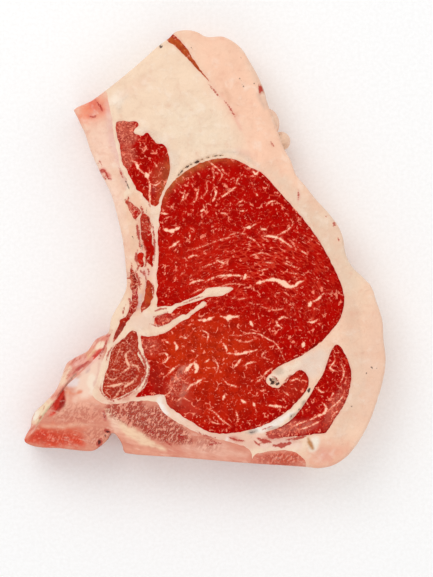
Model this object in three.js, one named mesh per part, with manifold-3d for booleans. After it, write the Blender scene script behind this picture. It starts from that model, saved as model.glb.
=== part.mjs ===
// A raw bone-in rib steak, lying flat on its lower cut face.
// Units are millimetres, +Z is up, +X is the side of the outer fat, +Y is the end of the rib.
// A blank with the steak's outer form is cut along the seams between its tissues, so that
// every muscle, bone and piece of fat is a solid that runs through the whole thickness.

import * as THREE from 'three';
import { mergeVertices } from 'three/addons/utils/BufferGeometryUtils.js';
import Module from 'manifold-3d';

const wasm = await Module();
wasm.setup();

// ---- driving dimensions ----------------------------------------------------------------

const LENGTH = 241;            // from the rib's end to the sawn edge of the feather bone
const THICKNESS = 34;          // a steak of one rib
const RIB_END_THINNER = 2.0;   // the rib's end is cut this much thinner than the backbone's end
const SEAM_GAP = 0.3;          // between two neighbouring tissues
const FAT_RIM = 1.9;           // how far the cut face stays back from the side, on fat
const BONE_RIM = 0.7;          // the same on sawn bone
const SIDE_HOLLOW = 2.2;       // deepest dent in the side of the steak
const RIB_SIDE_SHARE = 0.3;    // share of that depth on the rib's side
const MUSCLE_CROWN = 0.9;      // a cut muscle stands this far proud in its middle
const SEAM_DIP = 0.35;         // and dips this far at its seams
const CROWN_REACH = 9;         // distance from the seam to the full crown
const SIDE_DROP = 13;          // the lining on the belly side falls away by this much
const FOLD_HEIGHT = 1.2;       // folds of the lining
const FOLD_WIDTH = 11;
const CREASE_DEPTH = 6;        // the crease between backbone and lining
const VESSEL_RADIUS = 1.6;     // the cut vessel in the fat wedge
const VESSEL_DEPTH = 3;
const PLAN_STEP = 6.5;         // spacing of points along the outer outline
const SEAM_STEP = 4.6;         // and along the seams
const COARSE_CELL = 12;        // grid of the cut face
const FINE_CELL = 4.2;         // the same over the backbone and the lining
const SHARPEST_CORNER = 0.4;   // cosine of half the turn that an offset still follows

// ---- the plan, read on a grid of small squares ------------------------------------------

// The outlines below are places on this grid, x to the right and y downwards.
const GRID_TOP = 29;
const GRID_BOTTOM = 468.5;
const GRID_LEFT = 23.5;
const GRID_RIGHT = 386;
const SQUARE = LENGTH / (GRID_BOTTOM - GRID_TOP);

const OUTER = [
  [74, 109], [91, 100], [115, 82], [140, 61], [158, 45], [169, 37], [175, 31], [186, 29],
  [197, 31], [206, 35.5], [224, 36], [241, 47], [250, 61], [258, 75], [264, 89], [268, 103],
  [276, 126], [285, 150], [291, 160], [296, 174], [305, 185], [317, 200], [329, 213], [338, 225],
  [343, 236], [346, 253], [352, 266], [365, 279], [371.5, 286.5], [377, 302], [382.5, 320], [384, 340],
  [386, 360], [383.5, 380], [377, 403], [369, 424], [358.5, 443], [346, 458], [333, 466], [320, 468.5],
  [300, 467], [240, 463], [180, 458], [133, 454.5], [124.5, 452.5], [122, 445], [118, 438],
  [114.5, 434], [110.5, 434], [106.5, 441], [99, 447.5], [93, 451], [60, 449], [33, 447],
  [23.5, 441.5], [29, 428], [32, 415], [44, 403], [55, 391], [61, 377], [65.5, 364], [77.5, 356.5],
  [87, 351], [95.5, 339.5], [107.5, 333], [111, 318], [120, 302], [126, 288], [125, 262], [122, 238],
  [116, 212], [110, 192], [100, 172.5], [90, 150], [84.5, 133.5], [77.5, 118],
];

const EYE = [
  [222, 158], [237, 160], [250, 167], [262, 173], [276, 188], [292, 206], [307, 224], [320, 242],
  [332, 264], [341, 284], [344.5, 302], [338, 322], [325, 338], [309, 351], [293, 360], [283, 364],
  [274, 370], [267, 377], [269, 385], [278, 388], [286, 382], [292, 375], [301, 370], [308, 377],
  [308.5, 386], [304, 394], [297, 402], [285, 413], [265, 425], [240, 432], [212, 433], [190, 421],
  [175, 411], [167, 404], [164, 395], [150, 396], [136, 396], [144, 388], [149, 378], [150, 366],
  [146, 355], [141.5, 345], [142, 337], [150, 337], [160, 334], [155, 326], [154, 319], [158, 311],
  [157, 303], [157, 285], [158, 255], [158, 235], [160, 215], [163, 197], [173, 182], [188, 170],
  [203, 162],
];

// White septa that split the left half of the eye.
const UPPER_SEPTUM = [
  [148, 314], [160, 306], [170, 307], [180, 302.5], [190, 298.5], [200, 294], [207, 288.5],
  [218, 287], [229, 287], [233, 288.5], [222, 295.5], [210, 297], [200, 300], [190, 303],
  [180, 307], [168, 313], [158, 317], [148, 320],
];
const LOWER_SEPTUM = [
  [146, 325], [163, 325], [172, 321], [182, 315.5], [192, 310], [204, 301.5], [206, 304], [196, 312],
  [186, 319], [176, 325], [166, 332], [146, 336],
];

const CHINE_MUSCLE = [
  [132, 331], [137, 335], [138, 352], [143, 364], [144, 374], [139, 385], [128, 393], [112, 399],
  [103, 392], [104, 380], [108, 366], [112, 350], [120, 341], [127, 335],
];

const RIB_MUSCLE = [
  [116, 122], [128, 121], [138, 124], [134, 133], [141, 135], [146, 133], [157, 143], [164, 145],
  [169, 157], [170, 171], [166, 184], [160, 198], [157, 206], [150, 204], [143, 196], [133, 182],
  [125, 167], [120, 155], [120, 146], [117, 135],
];

const FAN_MUSCLE = [
  [337, 344], [345, 354], [351, 370], [350, 388], [344, 405], [335, 419], [325, 433], [315, 434],
  [300, 436], [282, 437], [266, 433], [278, 428], [291, 420], [299, 411], [305, 403], [310, 395],
  [314, 388], [322, 376], [327, 363], [332, 350],
];

const SKIN_MUSCLE = [
  [168, 31], [177, 37], [188, 50], [192, 57], [199, 67], [209, 81], [200, 71.5], [190, 61],
  [183, 53.5], [175, 46], [166, 38],
];

// Thin strap muscles between the rib and the eye, from the rib's end down.
const STRAPS = [
  [[127, 196], [132, 204], [139, 208], [140, 215], [136, 219], [131, 214], [127, 205]],
  [[143, 214], [148, 217], [151, 230], [153, 250], [152, 267], [148, 262], [144, 245], [141, 228]],
  [[141, 251], [144, 261], [141, 268], [137.5, 262], [138, 255]],
  [[147, 280], [152, 284], [152, 297], [147, 308], [141, 312], [144, 300], [145, 290]],
  [
    [131, 269], [137, 277], [138, 290], [136, 308], [129, 319], [119, 334], [113, 342], [116, 330],
    [124, 316], [131, 303], [131, 290], [130, 280],
  ],
];

const LINING = [
  [110, 329], [107, 343], [100, 353], [90, 364], [78, 375], [67, 385], [61, 393], [55, 401],
  [48, 410], [42, 419], [36, 429], [28, 437], [12, 446], [8, 420], [36, 380], [60, 340], [98, 318],
];
const CREASE = [[64, 387], [66, 394], [64, 403], [58, 412], [44, 420], [50, 411], [54, 402], [57, 394]];

const BACKBONE = [
  [107, 346], [102, 362], [97, 380], [93, 395], [102, 402.5], [114, 404], [132, 401.5], [150, 401],
  [157, 403], [162, 411], [172, 419], [186, 427], [200, 434], [216, 439], [232, 443], [247, 448],
  [252, 456], [250, 478], [120, 484], [10, 466], [14, 430], [60, 370], [90, 345],
];

const CARTILAGE = [
  [254, 456], [262, 452.5], [276, 450.5], [292, 451.5], [302, 457], [306, 466], [304, 480], [254, 480],
];

const RIB = [
  [104, 84], [108, 100], [112, 118], [113, 130], [116, 146], [120, 163], [127, 182], [124, 196],
  [126, 215], [129, 235], [131, 255], [128, 268], [110, 272], [98, 230], [60, 130], [60, 90],
];

const OUTER_FAT = [
  [172, 15], [171, 34], [190, 58], [209, 81], [222, 96], [232, 110], [241, 128], [248, 146],
  [253, 166], [262, 200], [280, 290], [270, 350], [262, 374], [266, 392], [290, 396], [304, 389],
  [312, 390], [326, 396], [322, 425], [310, 439], [311, 452], [309, 485], [420, 500], [430, 250],
  [330, 15],
];

const VESSEL = [274, 381];

// Lumps of fat on the side, below the cut face: place, half-widths, turn and height.
const SIDE_LUMPS = [
  { place: [271, 119], across: 4.8, along: 7.2, turn: -1.25, height: 17, rise: 11 },
  { place: [282, 139], across: 5.2, along: 5.4, turn: -1.25, height: 15, rise: 10 },
];

const MATERIALS = {
  lean: { color: '#b01810', roughness: 0.42 },
  dullLean: { color: '#b8402c', roughness: 0.5 },
  innerFat: { color: '#f5d9bd', roughness: 0.45 },
  outerFat: { color: '#f8cdb2', roughness: 0.48 },
  bone: { color: '#dd9a80', roughness: 0.6 },
  lining: { color: '#eab09a', roughness: 0.38 },
};

// ---- outlines --------------------------------------------------------------------------

function place([x, y]) {
  const middleX = (GRID_LEFT + GRID_RIGHT) / 2;
  const middleY = (GRID_TOP + GRID_BOTTOM) / 2;
  return new THREE.Vector2((x - middleX) * SQUARE, (middleY - y) * SQUARE);
}

// A closed smooth curve through the places, as points about one step apart.
function smoothOutline(places, step) {
  const knots = places.map((p) => place(p));
  const curve = new THREE.CatmullRomCurve3(
    knots.map((k) => new THREE.Vector3(k.x, k.y, 0)), true, 'centripetal');
  const points = [];
  knots.forEach((knot, i) => {
    const next = knots[(i + 1) % knots.length];
    const pieces = Math.max(1, Math.round(knot.distanceTo(next) / step));
    for (let j = 0; j < pieces; j += 1) {
      const p = curve.getPoint((i + j / pieces) / knots.length);
      points.push(new THREE.Vector2(p.x, p.y));
    }
  });
  if (THREE.ShapeUtils.area(points) < 0) points.reverse();
  return points;
}

// Moves every point of a counter-clockwise outline outwards by its own distance, with
// corners kept sharp up to a limit.
function shifted(points, distanceAt) {
  return points.map((p, i) => {
    const before = points[(i + points.length - 1) % points.length];
    const after = points[(i + 1) % points.length];
    const arriving = p.clone().sub(before).normalize();
    const along = arriving.clone().add(after.clone().sub(p).normalize()).normalize();
    const outwards = new THREE.Vector2(along.y, -along.x);
    const corner = Math.max(along.dot(arriving), SHARPEST_CORNER);
    return p.clone().addScaledVector(outwards, distanceAt(p, i) / corner);
  });
}

function distanceToOutline(point, outline) {
  let nearest = Infinity;
  outline.forEach((a, i) => {
    const b = outline[(i + 1) % outline.length];
    const edge = b.clone().sub(a);
    const t = THREE.MathUtils.clamp(point.clone().sub(a).dot(edge) / edge.lengthSq(), 0, 1);
    nearest = Math.min(nearest, point.distanceTo(a.clone().addScaledVector(edge, t)));
  });
  return nearest;
}

// ---- the cut face ----------------------------------------------------------------------

function smoothStep(value, from, to) {
  return THREE.MathUtils.smoothstep(value, Math.min(from, to), Math.max(from, to));
}

const liningSeam = smoothOutline(LINING, SEAM_STEP);

function isInside(point, outline) {
  let inside = false;
  outline.forEach((a, i) => {
    const b = outline[(i + 1) % outline.length];
    if ((a.y > point.y) !== (b.y > point.y)) {
      const crossing = a.x + ((point.y - a.y) * (b.x - a.x)) / (b.y - a.y);
      if (point.x < crossing) inside = !inside;
    }
  });
  return inside;
}

// The lining on the belly side slopes down from its inner seam, in soft folds.
function liningFall(x, y) {
  const point = new THREE.Vector2(x, y);
  if (!isInside(point, liningSeam)) return 0;
  const depth = distanceToOutline(point, liningSeam);
  const folds = FOLD_HEIGHT * Math.sin((depth * 2 * Math.PI) / FOLD_WIDTH - 0.8);
  return SIDE_DROP * smoothStep(depth, 0, SIDE_DROP) - folds * smoothStep(depth, 1, 4);
}

// Long soft waves of a hand-cut face, a slant to the rib's end, and the lower backbone.
function faceHeight(x, y) {
  const waves = 0.7 * Math.sin(x / 31 + 0.8) * Math.cos(y / 38 - 0.4)
    + 0.4 * Math.sin(x / 15 - y / 21);
  const slant = -RIB_END_THINNER * smoothStep(y, -40, LENGTH / 2);
  const tip = place([24, 440]);
  const backboneFall = -3.5 * (1 - smoothStep(Math.hypot(x - tip.x, y - tip.y), 6, 42));
  return THICKNESS + waves + slant + backboneFall - liningFall(x, y);
}

// ---- solids ----------------------------------------------------------------------------

function toSolid(geometry) {
  geometry.deleteAttribute('normal');
  geometry.deleteAttribute('uv');
  const merged = mergeVertices(geometry, 1e-4);
  return new wasm.Manifold(new wasm.Mesh({
    numProp: 3,
    vertProperties: new Float32Array(merged.getAttribute('position').array),
    triVerts: new Uint32Array(merged.getIndex().array),
  }));
}

// An upright prism that passes right through the steak.
function prism(points, from = -6, to = THICKNESS + 12) {
  const geometry = new THREE.ExtrudeGeometry(new THREE.Shape(points), {
    depth: to - from, bevelEnabled: false, steps: 1,
  });
  return toSolid(geometry.translate(0, 0, from));
}

// Stacked rings joined into one closed body.
function loftedBody(rings) {
  const size = rings[0].length;
  const positions = rings.flat().flatMap((p) => [p.x, p.y, p.z]);
  const triangles = [];
  for (let level = 0; level + 1 < rings.length; level += 1) {
    for (let i = 0; i < size; i += 1) {
      const a = level * size + i;
      const b = level * size + ((i + 1) % size);
      triangles.push(a, b, b + size, a, b + size, a + size);
    }
  }
  const cap = THREE.ShapeUtils.triangulateShape(rings[0].map((p) => new THREE.Vector2(p.x, p.y)), []);
  const top = (rings.length - 1) * size;
  cap.forEach(([a, b, c]) => triangles.push(a, c, b));
  const lid = THREE.ShapeUtils.triangulateShape(
    rings[rings.length - 1].map((p) => new THREE.Vector2(p.x, p.y)), []);
  lid.forEach(([a, b, c]) => triangles.push(top + a, top + b, top + c));
  const geometry = new THREE.BufferGeometry();
  geometry.setAttribute('position', new THREE.Float32BufferAttribute(positions, 3));
  geometry.setIndex(triangles);
  return toSolid(geometry);
}

// 1 along the sawn edge of the bones, which is flat and crisp, and 0 on soft tissue.
function sawnShare(point) {
  const start = place([255, 432]);
  const end = place([290, 424]);
  const low = 1 - smoothStep(point.y, start.y, end.y);
  const left = 1 - smoothStep(point.x, start.x, end.x);
  return low * left;
}

// The outer fat is dented by hand and knife, the rib side less so.
function sideDent(point, height) {
  const wave = Math.sin(point.x / 11 + height / 6) + Math.sin(point.y / 13 - height / 8 + 1.1)
    + 0.7 * Math.sin((point.x + point.y) / 5.5 + height / 4);
  const ribSide = place([130, 200]);
  const fatSide = place([200, 200]);
  const share = THREE.MathUtils.lerp(RIB_SIDE_SHARE, 1, smoothStep(point.x, ribSide.x, fatSide.x));
  const depth = (SIDE_HOLLOW / 2) * (1 - THREE.MathUtils.clamp(wave / 2, -1, 1));
  return share * (1 - sawnShare(point)) * depth;
}

// The whole steak before it is cut into tissues, with the height of each ring as a share
// of the local thickness or as a distance under the cut face.
function makeBlank() {
  const outline = smoothOutline(OUTER, PLAN_STEP);
  const levels = [
    { share: 0, under: 0, rim: 1.0, dent: 0 },
    { share: 0, under: -0.8, rim: 0.4, dent: 0 },
    { share: 0, under: -2.8, rim: 0, dent: 0.35 },
    { share: 0.32, under: 0, rim: 0, dent: 1.0 },
    { share: 0.62, under: 0, rim: 0, dent: 0.8 },
    { share: 1, under: 3.2, rim: 0, dent: 0 },
    { share: 1, under: 1.1, rim: 0.3, dent: 0 },
    { share: 1, under: 0.15, rim: 1.0, dent: 0 },
  ];
  const rings = levels.map((level) => shifted(outline, (p) => {
    const rim = level.rim * THREE.MathUtils.lerp(FAT_RIM, BONE_RIM, sawnShare(p));
    return -(rim + level.dent * sideDent(p, level.share * THICKNESS));
  }).map((q) => new THREE.Vector3(q.x, q.y, level.share * faceHeight(q.x, q.y) - level.under)));
  const topRing = rings[rings.length - 1];
  rings.push(topRing.map((p) => new THREE.Vector3(p.x, p.y, THICKNESS + 8)));
  let blank = loftedBody(rings);
  SIDE_LUMPS.forEach((lump) => {
    blank = blank.add(makeLump(lump));
  });
  return blank.intersect(makeFaceSlab());
}

function makeLump({ place: where, across, along, turn, height, rise }) {
  const centre = place(where);
  const lump = new THREE.SphereGeometry(1, 12, 8);
  lump.scale(along, across, rise);
  lump.rotateZ(turn);
  lump.translate(centre.x, centre.y, height);
  return toSolid(lump);
}

// Grid lines, close together up to the turning point and wider beyond it.
function gridLines(from, turning, to) {
  const fine = Math.ceil((turning - from) / FINE_CELL);
  const coarse = Math.ceil((to - turning) / COARSE_CELL);
  const lines = [];
  for (let i = 0; i < fine; i += 1) lines.push(THREE.MathUtils.lerp(from, turning, i / fine));
  for (let i = 0; i <= coarse; i += 1) lines.push(THREE.MathUtils.lerp(turning, to, i / coarse));
  return lines;
}

// Everything below the cut face.
function makeFaceSlab() {
  const low = place([GRID_LEFT - 8, GRID_BOTTOM + 8]);
  const turning = place([112, 330]);
  const high = place([GRID_RIGHT + 8, GRID_TOP - 8]);
  const columns = gridLines(low.x, turning.x, high.x);
  const rows = gridLines(low.y, turning.y, high.y);
  const slab = new THREE.BoxGeometry(1, 1, 1, columns.length - 1, rows.length - 1, 1);
  const position = slab.getAttribute('position');
  for (let i = 0; i < position.count; i += 1) {
    const x = columns[Math.round((position.getX(i) + 0.5) * (columns.length - 1))];
    const y = rows[Math.round((position.getY(i) + 0.5) * (rows.length - 1))];
    const z = position.getZ(i) > 0 ? faceHeight(x, y) : -4;
    position.setXYZ(i, x, y, z);
  }
  return toSolid(slab);
}

// ---- cutting the blank along its seams ---------------------------------------------------

const HALF_GAP = SEAM_GAP / 2;
let uncut = makeBlank();

const crease = smoothOutline(CREASE, SEAM_STEP / 2);
uncut = uncut.subtract(prism(crease, THICKNESS - 4 - CREASE_DEPTH));
const vessel = new THREE.CylinderGeometry(VESSEL_RADIUS, VESSEL_RADIUS * 0.6, 2 * VESSEL_DEPTH, 10);
vessel.rotateX(Math.PI / 2);
vessel.translate(place(VESSEL).x, place(VESSEL).y, faceHeight(place(VESSEL).x, place(VESSEL).y));
uncut = uncut.subtract(toSolid(vessel));

// Takes the tissue inside an outline out of the blank, less what the keepers hold back.
function takeTissue(places, step = SEAM_STEP, keepers = []) {
  const seam = smoothOutline(places, step);
  let tissue = uncut.intersect(prism(shifted(seam, () => -HALF_GAP)));
  let cutter = prism(shifted(seam, () => HALF_GAP));
  keepers.forEach((keeper) => {
    const edge = smoothOutline(keeper, step);
    tissue = tissue.subtract(prism(shifted(edge, () => HALF_GAP)));
    cutter = cutter.subtract(prism(shifted(edge, () => -HALF_GAP)));
  });
  uncut = uncut.subtract(cutter);
  return { solid: tissue, seam };
}

// ---- from a solid to a mesh --------------------------------------------------------------

// The triangles of the largest closed body, without loose scraps.
function largestBody(triangles, count) {
  const leader = Array.from({ length: count }, (_, i) => i);
  const find = (i) => {
    let at = i;
    while (leader[at] !== at) {
      leader[at] = leader[leader[at]];
      at = leader[at];
    }
    return at;
  };
  for (let i = 0; i < triangles.length; i += 3) {
    leader[find(triangles[i])] = find(triangles[i + 1]);
    leader[find(triangles[i + 1])] = find(triangles[i + 2]);
  }
  const sizes = new Map();
  for (let i = 0; i < triangles.length; i += 3) {
    const key = find(triangles[i]);
    sizes.set(key, (sizes.get(key) ?? 0) + 1);
  }
  const [largest] = [...sizes.entries()].sort((a, b) => b[1] - a[1])[0];
  const kept = [];
  for (let i = 0; i < triangles.length; i += 3) {
    if (find(triangles[i]) === largest) kept.push(triangles[i], triangles[i + 1], triangles[i + 2]);
  }
  return kept;
}

// A muscle swells from its seams to its middle, on the cut face alone.
function muscleRelief(seam) {
  return (x, y) => {
    const inwards = distanceToOutline(new THREE.Vector2(x, y), seam);
    return -SEAM_DIP + (MUSCLE_CROWN + SEAM_DIP) * smoothStep(inwards, 0, CROWN_REACH);
  };
}

// Fat is slightly lumpy.
function fatRelief(x, y) {
  return 0.3 * Math.sin(x / 6.1 + 0.5) * Math.sin(y / 7.3) + 0.2 * Math.sin((x - y) / 4.2);
}

function toMesh(name, solid, look, relief = null) {
  const { vertProperties, triVerts } = solid.getMesh();
  const positions = Array.from(vertProperties);
  if (relief) {
    for (let i = 0; i < positions.length; i += 3) {
      if (positions[i + 2] > THICKNESS / 2) {
        const share = smoothStep(positions[i + 2], THICKNESS * 0.62, THICKNESS * 0.9);
        positions[i + 2] += share * relief(positions[i], positions[i + 1]);
      }
    }
  }
  const geometry = new THREE.BufferGeometry();
  geometry.setAttribute('position', new THREE.Float32BufferAttribute(positions, 3));
  geometry.setIndex(largestBody(Array.from(triVerts), positions.length / 3));
  geometry.computeVertexNormals();
  const mesh = new THREE.Mesh(geometry, new THREE.MeshStandardMaterial({ metalness: 0, ...look }));
  mesh.name = name;
  return mesh;
}

// ---- the tissues -------------------------------------------------------------------------

const steak = new THREE.Group();

function addMuscle(name, places, look = MATERIALS.lean, keepers = [], step = SEAM_STEP) {
  const { solid, seam } = takeTissue(places, step, keepers);
  const walls = [seam, ...keepers.map((keeper) => smoothOutline(keeper, step))];
  const reliefs = walls.map((wall) => muscleRelief(wall));
  const relief = (x, y) => Math.min(...reliefs.map((one) => one(x, y)));
  steak.add(toMesh(name, solid, look, relief));
}

addMuscle('skin_muscle', SKIN_MUSCLE, MATERIALS.dullLean);
addMuscle('rib_muscle', RIB_MUSCLE);
addMuscle('eye_muscle', EYE, MATERIALS.lean, [UPPER_SEPTUM, LOWER_SEPTUM]);
addMuscle('chine_muscle', CHINE_MUSCLE, MATERIALS.dullLean);
addMuscle('fan_muscle', FAN_MUSCLE);
STRAPS.forEach((strap, i) => {
  addMuscle(`strap_muscle_${i + 1}`, strap, MATERIALS.dullLean, [], SEAM_STEP * 0.7);
});

steak.add(toMesh('belly_lining', takeTissue(LINING).solid, MATERIALS.lining));
steak.add(toMesh('backbone', takeTissue(BACKBONE).solid, MATERIALS.bone));
steak.add(toMesh('tip_cartilage', takeTissue(CARTILAGE).solid, MATERIALS.bone));
steak.add(toMesh('rib_bone', takeTissue(RIB).solid, MATERIALS.outerFat, fatRelief));
steak.add(toMesh('outer_fat', takeTissue(OUTER_FAT).solid, MATERIALS.outerFat, fatRelief));
steak.add(toMesh('inner_fat', uncut, MATERIALS.innerFat, fatRelief));

export default steak;
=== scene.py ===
"""A raw bone-in rib steak, lying flat on its lower cut face.

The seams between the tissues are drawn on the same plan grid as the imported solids. A fine mesh
of the cut face is split along them, every tissue gets its own closed body through the whole
thickness, and the marbling, stains and fibre directions are written on the mesh for the
materials to read. Lengths are millimetres until a mesh is made, and metres in Blender.
"""
import itertools
import math

import bpy
import numpy as np
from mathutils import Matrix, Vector
from mathutils.geometry import delaunay_2d_cdt
from mathutils.kdtree import KDTree


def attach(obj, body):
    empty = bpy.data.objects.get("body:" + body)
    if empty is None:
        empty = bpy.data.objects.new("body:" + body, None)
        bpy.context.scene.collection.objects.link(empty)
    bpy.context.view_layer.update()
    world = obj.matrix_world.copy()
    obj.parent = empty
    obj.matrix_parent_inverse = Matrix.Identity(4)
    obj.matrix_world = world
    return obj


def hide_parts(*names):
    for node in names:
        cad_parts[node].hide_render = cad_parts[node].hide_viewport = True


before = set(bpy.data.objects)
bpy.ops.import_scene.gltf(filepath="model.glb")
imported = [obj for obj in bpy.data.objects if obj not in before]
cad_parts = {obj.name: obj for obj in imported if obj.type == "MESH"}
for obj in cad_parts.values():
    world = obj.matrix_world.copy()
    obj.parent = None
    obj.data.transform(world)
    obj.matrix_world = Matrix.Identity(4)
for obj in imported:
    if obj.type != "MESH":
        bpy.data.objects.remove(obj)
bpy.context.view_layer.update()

# ---- sizes, in millimetres ---------------------------------------------------------------

MM = 0.001
LENGTH = 241.0            # from the rib's end to the sawn edge of the feather bone
THICKNESS = 34.0
RIB_END_THINNER = 2.0
FAT_RIM = 1.9             # how far the cut face stays back from the side, on fat
BONE_RIM = 0.7            # the same on sawn bone
RIM_FALL = 3.2            # depth of the rounded edge
FOOT_RISE = 2.8           # height of the rounded edge at the foot
UNDERSIDE_LIFT = 0.12     # middle height of the underside over the floor
UNDERSIDE_BUMPS = 0.12    # height of its bumps
SIDE_HOLLOW = 2.2         # deepest dent in the side
RIB_SIDE_SHARE = 0.3      # share of that depth on the rib's side
FOOT_DENT = 0.35          # share of it at the foot
MUSCLE_CROWN = 0.9        # a cut muscle stands this far proud in its middle
SEAM_DIP = 0.16           # and dips this far at its seams
CROWN_REACH = 9.0         # distance from the seam to the full crown
SIDE_DROP = 13.0          # the lining falls away on the belly side
FOLD_HEIGHT = 1.2         # folds of the lining
FOLD_WIDTH = 11.0
CREASE_FLOOR = 29.0       # height of the bottom of the red crease
VESSEL_RADIUS = 1.6       # the cut vessel in the fat wedge
VESSEL_DEPTH = 3.0
SLIT_DEPTH = 1.3          # the slit over the eye
MARBLING_RISE = 0.16      # fat stands a little over the meat it runs through
PIT_DEPTH = 0.4           # pores of the spongy bone
LUMP_BLEND = 0.9          # softness of the crease round a lump of fat
SMALLEST_PATCH = 2.5      # square millimetres; a smaller scrap joins the tissue round it
CELL = 0.6                # spacing of points on the cut face
SEAM_CLEARANCE = 0.33     # closest that such a point stands to a seam
SEAM_SPACING = 0.6        # spacing of points along a seam
RIM_SPACING = 0.8         # and along the rim
RIM_CLOSEST = 0.45        # closest that two points of the rim stand
SIDE_CELL = 1.1           # and down the side
STROKE_SPACING = 0.35     # and along a mark
MARK_REACH = 7.0          # the distance to a mark is followed this far
LAYER_REACH = 14.0        # and that to a painted stroke this far
SPOTS_AT_ONCE = 4000      # so many points are measured in one go, to save memory
SHARP_TURN = 42.0         # faces that meet at more degrees than this keep a sharp edge

# ---- the plan, read on a grid of small squares ---------------------------------------------

GRID_TOP = 29.0
GRID_BOTTOM = 468.5
GRID_LEFT = 23.5
GRID_RIGHT = 386.0
SQUARE = LENGTH / (GRID_BOTTOM - GRID_TOP)
GRID_MIDDLE = ((GRID_LEFT + GRID_RIGHT) / 2, (GRID_TOP + GRID_BOTTOM) / 2)

OUTER = [
    (74, 109), (91, 100), (115, 82), (140, 61), (158, 45), (169, 37), (175, 31), (186, 29),
    (197, 31), (206, 35.5), (224, 36), (241, 47), (250, 61), (258, 75), (264, 89), (268, 103),
    (276, 126), (285, 150), (291, 160), (296, 174), (305, 185), (317, 200), (329, 213), (338, 225),
    (343, 236), (346, 253), (352, 266), (365, 279), (371.5, 286.5), (377, 302), (382.5, 320), (384, 340),
    (386, 360), (383.5, 380), (377, 403), (369, 424), (358.5, 443), (346, 458), (333, 466), (320, 468.5),
    (300, 467), (240, 463), (180, 458), (133, 454.5), (124.5, 452.5), (122, 445), (118, 438),
    (114.5, 434), (110.5, 434), (106.5, 441), (99, 447.5), (93, 451), (60, 449), (33, 447),
    (23.5, 441.5), (29, 428), (32, 415), (44, 403), (55, 391), (61, 377), (65.5, 364), (77.5, 356.5),
    (87, 351), (95.5, 339.5), (107.5, 333), (111, 318), (120, 302), (126, 288), (125, 262), (122, 238),
    (116, 212), (110, 192), (100, 172.5), (90, 150), (84.5, 133.5), (77.5, 118),
]
EYE = [
    (222, 158), (237, 160), (250, 167), (262, 173), (276, 188), (292, 206), (307, 224), (320, 242),
    (332, 264), (341, 284), (344.5, 302), (338, 322), (325, 338), (309, 351), (293, 360), (283, 364),
    (274, 370), (267, 377), (269, 385), (278, 388), (286, 382), (292, 375), (301, 370), (308, 377),
    (308.5, 386), (304, 394), (297, 402), (285, 413), (265, 425), (240, 432), (212, 433), (190, 421),
    (175, 411), (167, 404), (164, 395), (150, 396), (136, 396), (144, 388), (149, 378), (150, 366),
    (146, 355), (141.5, 345), (142, 337), (150, 337), (160, 334), (155, 326), (154, 319), (158, 311),
    (157, 303), (157, 285), (158, 255), (158, 235), (160, 215), (163, 197), (173, 182), (188, 170),
    (203, 162),
]
# White seams that split the left half of the eye.
UPPER_SEPTUM = [
    (148, 314), (160, 306), (170, 307), (180, 302.5), (190, 298.5), (200, 294), (207, 288.5),
    (218, 287), (229, 287), (233, 288.5), (222, 295.5), (210, 297), (200, 300), (190, 303),
    (180, 307), (168, 313), (158, 317), (148, 320),
]
LOWER_SEPTUM = [
    (146, 325), (163, 325), (172, 321), (182, 315.5), (192, 310), (204, 301.5), (206, 304), (196, 312),
    (186, 319), (176, 325), (166, 332), (146, 336),
]
SEPTA = [UPPER_SEPTUM, LOWER_SEPTUM]
CHINE_MUSCLE = [
    (132, 331), (137, 335), (138, 352), (143, 364), (144, 374), (139, 385), (128, 393), (112, 399),
    (103, 392), (104, 380), (108, 366), (112, 350), (120, 341), (127, 335),
]
RIB_MUSCLE = [
    (116, 122), (128, 121), (138, 124), (134, 133), (141, 135), (146, 133), (157, 143), (164, 145),
    (169, 157), (170, 171), (166, 184), (160, 198), (157, 206), (150, 204), (143, 196), (133, 182),
    (125, 167), (120, 155), (120, 146), (117, 135),
]
FAN_MUSCLE = [
    (337, 344), (345, 354), (351, 370), (350, 388), (344, 405), (335, 419), (325, 433), (315, 434),
    (300, 436), (282, 437), (266, 433), (278, 428), (291, 420), (299, 411), (305, 403), (310, 395),
    (314, 388), (322, 376), (327, 363), (332, 350),
]
SKIN_MUSCLE = [
    (168, 31), (177, 37), (188, 50), (192, 57), (199, 67), (209, 81), (200, 71.5), (190, 61),
    (183, 53.5), (175, 46), (166, 38),
]
STRAPS = [
    [(127, 196), (132, 204), (139, 208), (140, 215), (136, 219), (131, 214), (127, 205)],
    [(143, 214), (148, 217), (151, 230), (153, 250), (152, 267), (148, 262), (144, 245), (141, 228)],
    [(141, 251), (144, 261), (141, 268), (137.5, 262), (138, 255)],
    [(147, 280), (152, 284), (152, 297), (147, 308), (141, 312), (144, 300), (145, 290)],
    [
        (131, 269), (137, 277), (138, 290), (136, 308), (129, 319), (119, 334), (113, 342), (116, 330),
        (124, 316), (131, 303), (131, 290), (130, 280),
    ],
]
LINING = [
    (110, 329), (107, 343), (100, 353), (90, 364), (78, 375), (67, 385), (61, 393), (55, 401),
    (48, 410), (42, 419), (36, 429), (28, 437), (12, 446), (8, 420), (36, 380), (60, 340), (98, 318),
]
CREASE = [(64, 387), (66, 394), (64, 403), (58, 412), (44, 420), (50, 411), (54, 402), (57, 394)]
BACKBONE = [
    (107, 346), (102, 362), (97, 380), (93, 395), (102, 402.5), (114, 404), (132, 401.5), (150, 401),
    (157, 403), (162, 411), (172, 419), (186, 427), (200, 434), (216, 439), (232, 443), (247, 448),
    (252, 456), (250, 478), (120, 484), (10, 466), (14, 430), (60, 370), (90, 345),
]
CARTILAGE = [
    (254, 456), (262, 452.5), (276, 450.5), (292, 451.5), (302, 457), (306, 466), (304, 480), (254, 480),
]
RIB = [
    (104, 84), (108, 100), (112, 118), (113, 130), (116, 146), (120, 163), (127, 182), (124, 196),
    (126, 215), (129, 235), (131, 255), (128, 268), (110, 272), (98, 230), (60, 130), (60, 90),
]
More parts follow.
